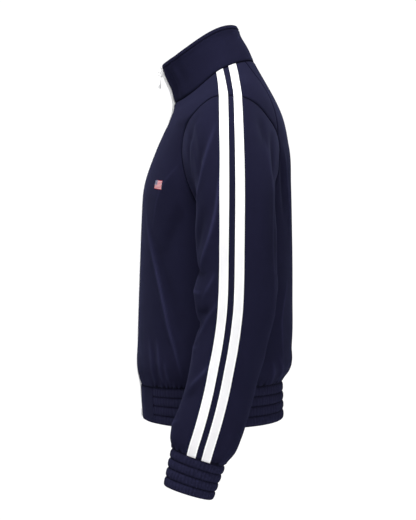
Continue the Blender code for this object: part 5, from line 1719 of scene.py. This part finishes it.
@dataclass
class BandPath:
    """Where a band runs: the hem from one tab to the other, or a cuff."""

    wind: Wind = Wind.PLAIN

    def read(self, share: Array, down: Array) -> tuple[Array, Array]:
        """Points and outward normals, in rows from the seam to the bottom edge."""
        raise NotImplementedError


@dataclass
class HemPath(BandPath):
    """The hem, all round the body."""

    form: RingSurface = field(default_factory=lambda: RingSurface(HEM_RINGS))
    start: float = HEM_TAB_END
    end: float = 360.0 - HEM_TAB_END

    def place(self, degrees: Array, down: Array) -> tuple[Array, Array]:
        """Points and normals at some degrees round the body, from 0 to 360."""
        side = np.where((degrees <= 180)[..., None], Side.LEFT.flip, Side.RIGHT.flip)
        angle = np.where(degrees <= 180, degrees, 360 - degrees)
        up = down * self.form.top
        points = self.form.point(angle, up)
        along = self.form.point(angle + 0.5, up) - self.form.point(angle - 0.5, up)
        normals = unit(np.cross(along, np.array([0.0, 0.0, 1.0])))
        return points * side, normals * side

    def read(self, share: Array, down: Array) -> tuple[Array, Array]:
        """Points and outward normals, in rows from the seam to the bottom edge."""
        degrees = np.linspace(self.start, self.end, 721)
        along = lengths_along(self.place(degrees, np.zeros(721))[0])
        around = np.interp(share * along[-1], along, degrees)
        return self.place(*np.meshgrid(around, down))


@dataclass
class CuffPath(BandPath):
    """A cuff, all round the wrist."""

    side: Side = Side.LEFT

    def read(self, share: Array, down: Array) -> tuple[Array, Array]:
        """Points and outward normals, in rows from the seam to the bottom edge."""
        lines = []
        for oval in CUFF_OVALS:
            line = oval_line(astuple(oval)[1:], self.side)
            along = lengths_along(line)
            lines.append(read_line(line, along, share * along[-1]))
        t = down[:, None, None]
        points = lines[0][None] * (1 - t) + lines[1][None] * t
        axis = (lines[1] - lines[0]).mean(axis=0)
        around = np.roll(points, -1, axis=1) - np.roll(points, 1, axis=1)
        normals = unit(np.cross(around, axis))
        outward = np.sum(normals * (points - points.mean(axis=1, keepdims=True)), axis=-1, keepdims=True)
        return points, normals * np.sign(outward)


@dataclass
class HemTabs:
    """The two plain flat ends of the hem band beside the zip."""

    path: HemPath
    cloth: float = 0.0020
    proud: float = 0.0006
    front_edge: float = FRONT_EDGE
    cut: Cut = Cut(0.090, 0.075, "folded", 0.0062)

    def build(self, side: Side, threads: Stitches) -> None:
        """Make one tab."""
        start = math.degrees(self.front_edge / self.path.form.rings[0].half_width)
        columns, rows, tall = 40, 30, 0.065
        degrees, down = np.meshgrid(np.linspace(start, self.path.start, columns), np.linspace(0, 1, rows))
        points, normals = self.path.place(degrees, down)
        ends = np.minimum(degrees - start, self.path.start - degrees) * 0.0028
        edges = np.exp(-(ends / 0.0014) ** 2) + np.exp(-(down * tall / 0.0018) ** 2)
        soft = 0.0005 * np.sin(degrees * 0.35 + side.value) * np.sin(down * 3.4)
        relief = self.proud + soft - 0.0007 * edges - 0.0006 * np.exp(-((1 - down) * tall / 0.0015) ** 2)
        points = (points + relief[..., None] * normals) * side.flip
        points[:, 0, 0] = side.value * self.front_edge
        cloth = Cloth()
        # Painted shade along the tab's end beside the band and along the hem seam.
        cloth.add_grid(points, np.clip(edges * (degrees > 20), 0, 1) * 0.8, wind=Wind.TURNED.on(side))
        piece = cloth.build(f"hem_tab_{side.word}_cloth", self.cloth, NAVY, rounding=0.5)
        self.cut.declare(piece, f"hem_tab_{side.word}", f"front_{side.word}_cloth")
        out = normals[1:-1, columns - 1] * side.flip
        threads.run(points[1:-1, columns - 1] + 0.0008 * out, out)


# -------- the zip


@dataclass
class Zip:
    """The zip: teeth, cloth tapes, box, slider and pull tab."""

    body: RingSurface
    collar: RingSurface
    hem: RingSurface
    tooth_pitch: float = 0.0021
    tooth_size: Triple = (0.0034, 0.0022, 0.0012)
    proud: float = 0.0012
    top_free: float = 0.0012
    under_teeth: float = 0.0017
    behind: float = 0.0035
    tape_places: tuple[float, ...] = (0.0005, 0.0014, 0.0024, 0.0044, 0.0075, 0.0115)
    tape_cloth: float = 0.0009
    row: float = 0.0035
    tape_cut: Cut = Cut(0.0165, 0.700, "stretched", 0.0115)

    def column(self, x: float) -> Array:
        """Points of the fronts and the collar at one distance from the centre line, from the foot up."""
        lines = []
        for form, way in ((self.hem, -1), (self.body, 1), (self.collar, 1)):
            ups = np.linspace(0, form.top, int(form.top / self.row) + 2)[::way]
            square = form.values[0, 6]
            around = np.degrees(np.arcsin((x / form.half_width(ups)) ** (square / 2)))
            lines.append(form.point(around, ups)[1 if lines else 0:])
        line = evened(np.concatenate(lines))
        line[-1] += (line[-2] - line[-1]) * self.top_free / self.row
        return line

    def lines(self) -> tuple[Array, Array, Array]:
        """The centre line, where the teeth stand on it, and its outward normals, in y and z."""
        line = self.column(0.0)[:, 1:]
        slope = unit(np.gradient(line, axis=0))
        normals = np.stack([-slope[:, 1], slope[:, 0]], axis=1)
        proud = np.interp(line[:, 1], [s.z for s in ZIP_STANDS], [s.proud for s in ZIP_STANDS])
        return line, line + (proud - self.proud)[:, None] * normals, normals

    def teeth(self, raised: Array, normals: Array) -> None:
        """Two rows of teeth that mesh along the line."""
        tooth = bmesh.new()
        bmesh.ops.create_cube(tooth, size=1.0)
        bmesh.ops.scale(tooth, vec=self.tooth_size, verts=tooth.verts)
        bmesh.ops.bevel(tooth, geom=tooth.edges[:], offset=0.0004, segments=2, affect="EDGES")
        shape = np.array([v.co[:] for v in tooth.verts])
        faces = [[v.index for v in f.verts] for f in tooth.faces]
        tooth.free()
        along = lengths_along(raised)
        places = np.arange(self.box_top(), along[-1], self.tooth_pitch / 2)
        where, out = read_line(raised, along, places), unit(read_line(normals, along, places))
        points, quads = [], []
        for k, (place, (ny, nz)) in enumerate(zip(where, out)):
            turn = np.array([[1, 0, 0], [0, ny, -nz], [0, nz, ny]])
            centre = place + (self.proud - self.tooth_size[1] / 2) * np.array([ny, nz])
            shift = np.array([0.0009 * (1 if k % 2 else -1), *centre])
            quads += [[n + len(shape) * k for n in face] for face in faces]
            points.append(shape @ turn.T + shift)
        mesh = bpy.data.meshes.new("zip_teeth_rows")
        mesh.from_pydata(np.concatenate(points).tolist(), [], quads)
        mesh.shade_smooth()
        mesh.set_sharp_from_angle(angle=math.radians(40))
        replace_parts(new_piece("zip_teeth_rows", mesh, TEETH), "zip_chain")

    def box_top(self) -> float:
        """How far up the line the box at its foot reaches."""
        low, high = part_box("zip_box")
        return high[2] - low[2]

    def tape(self, side: Side, line: Array, raised: Array, normals: Array) -> None:
        """A cloth tape: under the teeth, in past the edge of the cloth and on behind it."""
        under = raised - (self.under_teeth - 0.0002) * normals
        rows = [np.column_stack([np.full(len(line), x), place]) for x, place in zip(
            self.tape_places, (under, under - 0.0003 * normals, line - self.behind * normals))]
        for x in self.tape_places[3:]:
            place = self.column(x)
            place[:, 1:] -= self.behind * normals
            rows.append(place)
        section = np.array(rows)
        stops = np.arange(len(section), dtype=float)
        fine = np.linspace(0, len(section) - 1, 4 * (len(section) - 1) + 1)
        flat = smooth(stops, section.reshape(len(section), -1), fine)
        grid = flat.reshape(len(fine), -1, 3).swapaxes(0, 1) * side.flip
        cloth = Cloth()
        cloth.add_grid(grid, wind=Wind.PLAIN.on(side))
        piece = cloth.build(f"zip_tape_{side.word}_weave", self.tape_cloth, ZIP_CLOTH)
        self.tape_cut.declare(piece, f"zip_tape_{side.word}", f"front_{side.word}_cloth", "collar_cloth")

    def softened(self, node: Piece, body: str, finish: Finish, round_off: float) -> None:
        """The node's own form with rounded edges.

        Args:
            node: the node that it stands for.
            body: the moving body that it belongs to.
            finish: what it is made of.
            round_off: how far each edge is rounded.
        """
        mesh = bmesh.new()
        mesh.from_mesh(node.data)
        bmesh.ops.remove_doubles(mesh, verts=mesh.verts, dist=1e-6)
        bmesh.ops.dissolve_limit(mesh, angle_limit=math.radians(3), verts=mesh.verts, edges=mesh.edges)
        sharp = [e for e in mesh.edges if len(e.link_faces) == 2 and e.calc_face_angle() > math.radians(20)]
        bmesh.ops.bevel(mesh, geom=sharp, offset=round_off, segments=3, affect="EDGES", clamp_overlap=True)
        bmesh.ops.triangulate(mesh, faces=mesh.faces)
        name = f"{node.name}_{finish.name.split('_')[1]}"
        data = smooth_mesh(name, mesh)
        data.set_sharp_from_angle(angle=math.radians(50))
        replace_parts(new_piece(name, data, finish, body), node.name)

    def build(self, nodes: dict[str, Piece]) -> None:
        """Make the whole zip."""
        line, raised, normals = self.lines()
        self.teeth(raised, normals)
        for side in Side:
            self.tape(side, line, raised, normals)
        self.softened(nodes["zip_box"], BODY_NAME, TEETH, 0.0004)
        self.softened(nodes["zip_slider"], BODY_NAME, METAL, 0.0002)
        self.softened(nodes["zip_pull"], "pull_tab", METAL, 0.0004)


@dataclass
class FlagPatch:
    """A small embroidered flag on the left chest."""

    shell: Shell
    corners: tuple[tuple[float, float], ...] = (
        (37.4, -0.1987), (47.1, -0.2019), (37.4, -0.1842), (47.1, -0.1867))
    lift: float = 0.0006

    def build(self) -> None:
        """Lay the patch on the front."""
        form, columns, rows = self.shell.form, 40, 24
        ups = np.linspace(0, form.top, 400)
        heights = form.point(np.full(400, 40.0), ups)[:, 2]
        s, t = np.meshgrid(np.linspace(0, 1, columns), np.linspace(0, 1, rows))
        corners = np.array(self.corners)
        corners[:, 1] = np.interp(corners[:, 1], heights, ups)
        shares = np.stack([(1 - s) * (1 - t), s * (1 - t), (1 - s) * t, s * t], axis=-1)
        around, up = np.moveaxis(shares @ corners, -1, 0)
        points, _ = self.shell.raised(around, up, Side.LEFT, seam=False)
        edge = np.minimum(np.minimum(s, 1 - s) * 0.032, np.minimum(t, 1 - t) * 0.016)
        rise = self.lift * (0.45 + 0.55 * ease(0.0, 0.0012, edge)) + 0.00005 * np.sin(s * 130)
        points = points + rise[..., None] * form.normal(around, up)
        cloth = Cloth()
        cloth.add_grid(points, flat=np.stack([s, t], axis=-1))
        cloth.build("chest_flag", 0.0005, FLAG)


# -------- the studio


@dataclass(frozen=True)
class Lamp:
    """A soft area light that looks at the jacket."""

    name: str
    place: Triple
    size: float
    power: float


@dataclass
class Studio:
    """Pale floor and backdrop, soft light and the camera."""

    target: Vector = field(default_factory=lambda: Vector((0.0, -0.0119, -0.3239)))
    distance: float = 2.8
    frame_height: float = 520 * 0.00183
    lamps: tuple[Lamp, ...] = (
        Lamp("top_light", (0.9, -0.25, 2.8), 1.3, 150.0),
        Lamp("front_light", (1.2, -2.7, 0.4), 1.4, 14.0),
        Lamp("side_light", (3.2, 0.5, -0.3), 2.2, 50.0),
        Lamp("back_light", (0.4, 2.7, 0.3), 1.6, 4.5),
    )
    world_light: float = 0.30

    def backdrop(self) -> None:
        """A pale floor that curves up behind the jacket, all round."""
        radius, floor, turns = 9.0, -1.35, 64
        profile = [(0.02, floor), (5.0, floor), (7.2, floor + 0.3), (8.4, floor + 1.2), (radius, 4.5),
                   (7.5, 7.5), (0.02, 9.0)]
        mesh = bmesh.new()
        angles = [2 * math.pi * k / turns for k in range(turns)]
        rings = [[mesh.verts.new((r * math.cos(a), r * math.sin(a), z)) for a in angles] for r, z in profile]
        for low, high in zip(rings, rings[1:]):
            for k in range(turns):
                mesh.faces.new((low[k], low[(k + 1) % turns], high[(k + 1) % turns], high[k]))
        mesh.faces.new(rings[0][::-1])
        mesh.faces.new(rings[-1])
        bmesh.ops.reverse_faces(mesh, faces=mesh.faces)
        data = smooth_mesh("studio_sweep", mesh)
        paper = bpy.data.materials.new("studio_paper")
        paper.use_nodes = True
        weaver = Weaver(paper.node_tree)
        shader = paper.node_tree.nodes["Principled BSDF"]
        shader.inputs["Base Color"].default_value = (0.86, 0.86, 0.86, 1.0)
        shader.inputs["Roughness"].default_value = 0.9
        seen = weaver.add("ShaderNodeLightPath").outputs["Is Camera Ray"]
        glow = weaver.add("ShaderNodeEmission", {"Strength": 1.06})
        mixed = weaver.add("ShaderNodeMixShader", {0: seen, 1: shader.outputs[0], 2: glow.outputs[0]})
        weaver.output(paper.node_tree.nodes["Material Output"], Surface=mixed.outputs[0])
        data.materials.append(paper)
        new_object("studio_sweep", data)

    def light(self) -> None:
        """Hang the lamps and set the even light of the room."""
        for lamp in self.lamps:
            data = bpy.data.lights.new(lamp.name, "AREA")
            data.shape, data.size, data.energy = "DISK", lamp.size, lamp.power
            shown = new_object(lamp.name, data)
            shown.location = lamp.place
            shown.rotation_euler = (self.target - Vector(lamp.place)).to_track_quat("-Z", "Y").to_euler()
            shown.visible_camera = False
        world = bpy.data.worlds.new("studio_air")
        world.use_nodes = True
        air = world.node_tree.nodes["Background"].inputs
        air["Color"].default_value, air["Strength"].default_value = (1.0, 1.0, 1.0, 1.0), self.world_light
        bpy.context.scene.world = world
        bpy.context.scene.view_settings.view_transform = "Standard"

    def camera(self) -> None:
        """Place the camera level with the jacket, on the wearer's left."""
        data = bpy.data.cameras.new("studio_camera")
        data.sensor_width = 36.0
        data.lens = 36.0 * self.distance / self.frame_height
        data.clip_end = 60.0
        camera = new_object("studio_camera", data)
        camera.location = self.target + Vector((self.distance, 0.0, 0.0))
        camera.rotation_euler = Vector((-1.0, 0.0, 0.0)).to_track_quat("-Z", "Y").to_euler()
        bpy.context.scene.camera = camera

    def build(self) -> None:
        """Set the whole studio up."""
        self.backdrop()
        self.light()
        self.camera()


# -------- assembly


def main() -> None:
    """Build the jacket and the studio, and report each piece."""
    logging.basicConfig(level=logging.INFO, format="%(message)s")
    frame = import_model()
    Studio().build()
    navy = Stitches("navy_stitches", NAVY_THREAD)
    white = Stitches("white_stitches", WHITE_THREAD)
    # The seams' thread is darker than the cloth: partly real stitching, partly painted shadow of the seams'
    # grooves.
    seams = Stitches("seam_stitches_painted_shade", SEAM_SHADE_THREAD, length=0.0060, pitch=0.0053, radius=0.00050)

    shell = Shell(BodyForm(BODY_RINGS))
    shell.lay_seams(seams)
    for side in Side:
        Sleeve(side, shell).build(shell.front(side), white)
        LOG.info("front, sleeve and tapes, %s", side.word)
    shell.back()
    collar = Collar(RingSurface(COLLAR_RINGS))
    collar.build(navy)
    LOG.info("back and collar")

    hem = HemPath(wind=Wind.TURNED)
    band = GatheredBand("hem_band", 108, 3, Cut(0.075, 1.060, "gathered"),
                        ("front_left_cloth", "front_right_cloth", "back_cloth"), fullness=0.0012)
    band.build(hem, False, seams)
    for side in Side:
        HemTabs(hem).build(side, seams)
        cuff = GatheredBand(f"cuff_{side.word}", 40, 7 + side.value, Cut(0.070, 0.330, "gathered"),
                            (f"sleeve_{side.word}_cloth",))
        cuff.build(CuffPath(wind=Wind.TURNED.on(side), side=side), True, seams)
    LOG.info("hem band, tabs and cuffs")

    Zip(shell.form, collar.form, hem.form).build(frame["nodes"])
    FlagPatch(shell).build()
    for threads in (navy, white, seams):
        threads.build()
    LOG.info("zip, flag and stitching")

    bpy.context.view_layer.update()


if __name__ == "__main__":
    main()
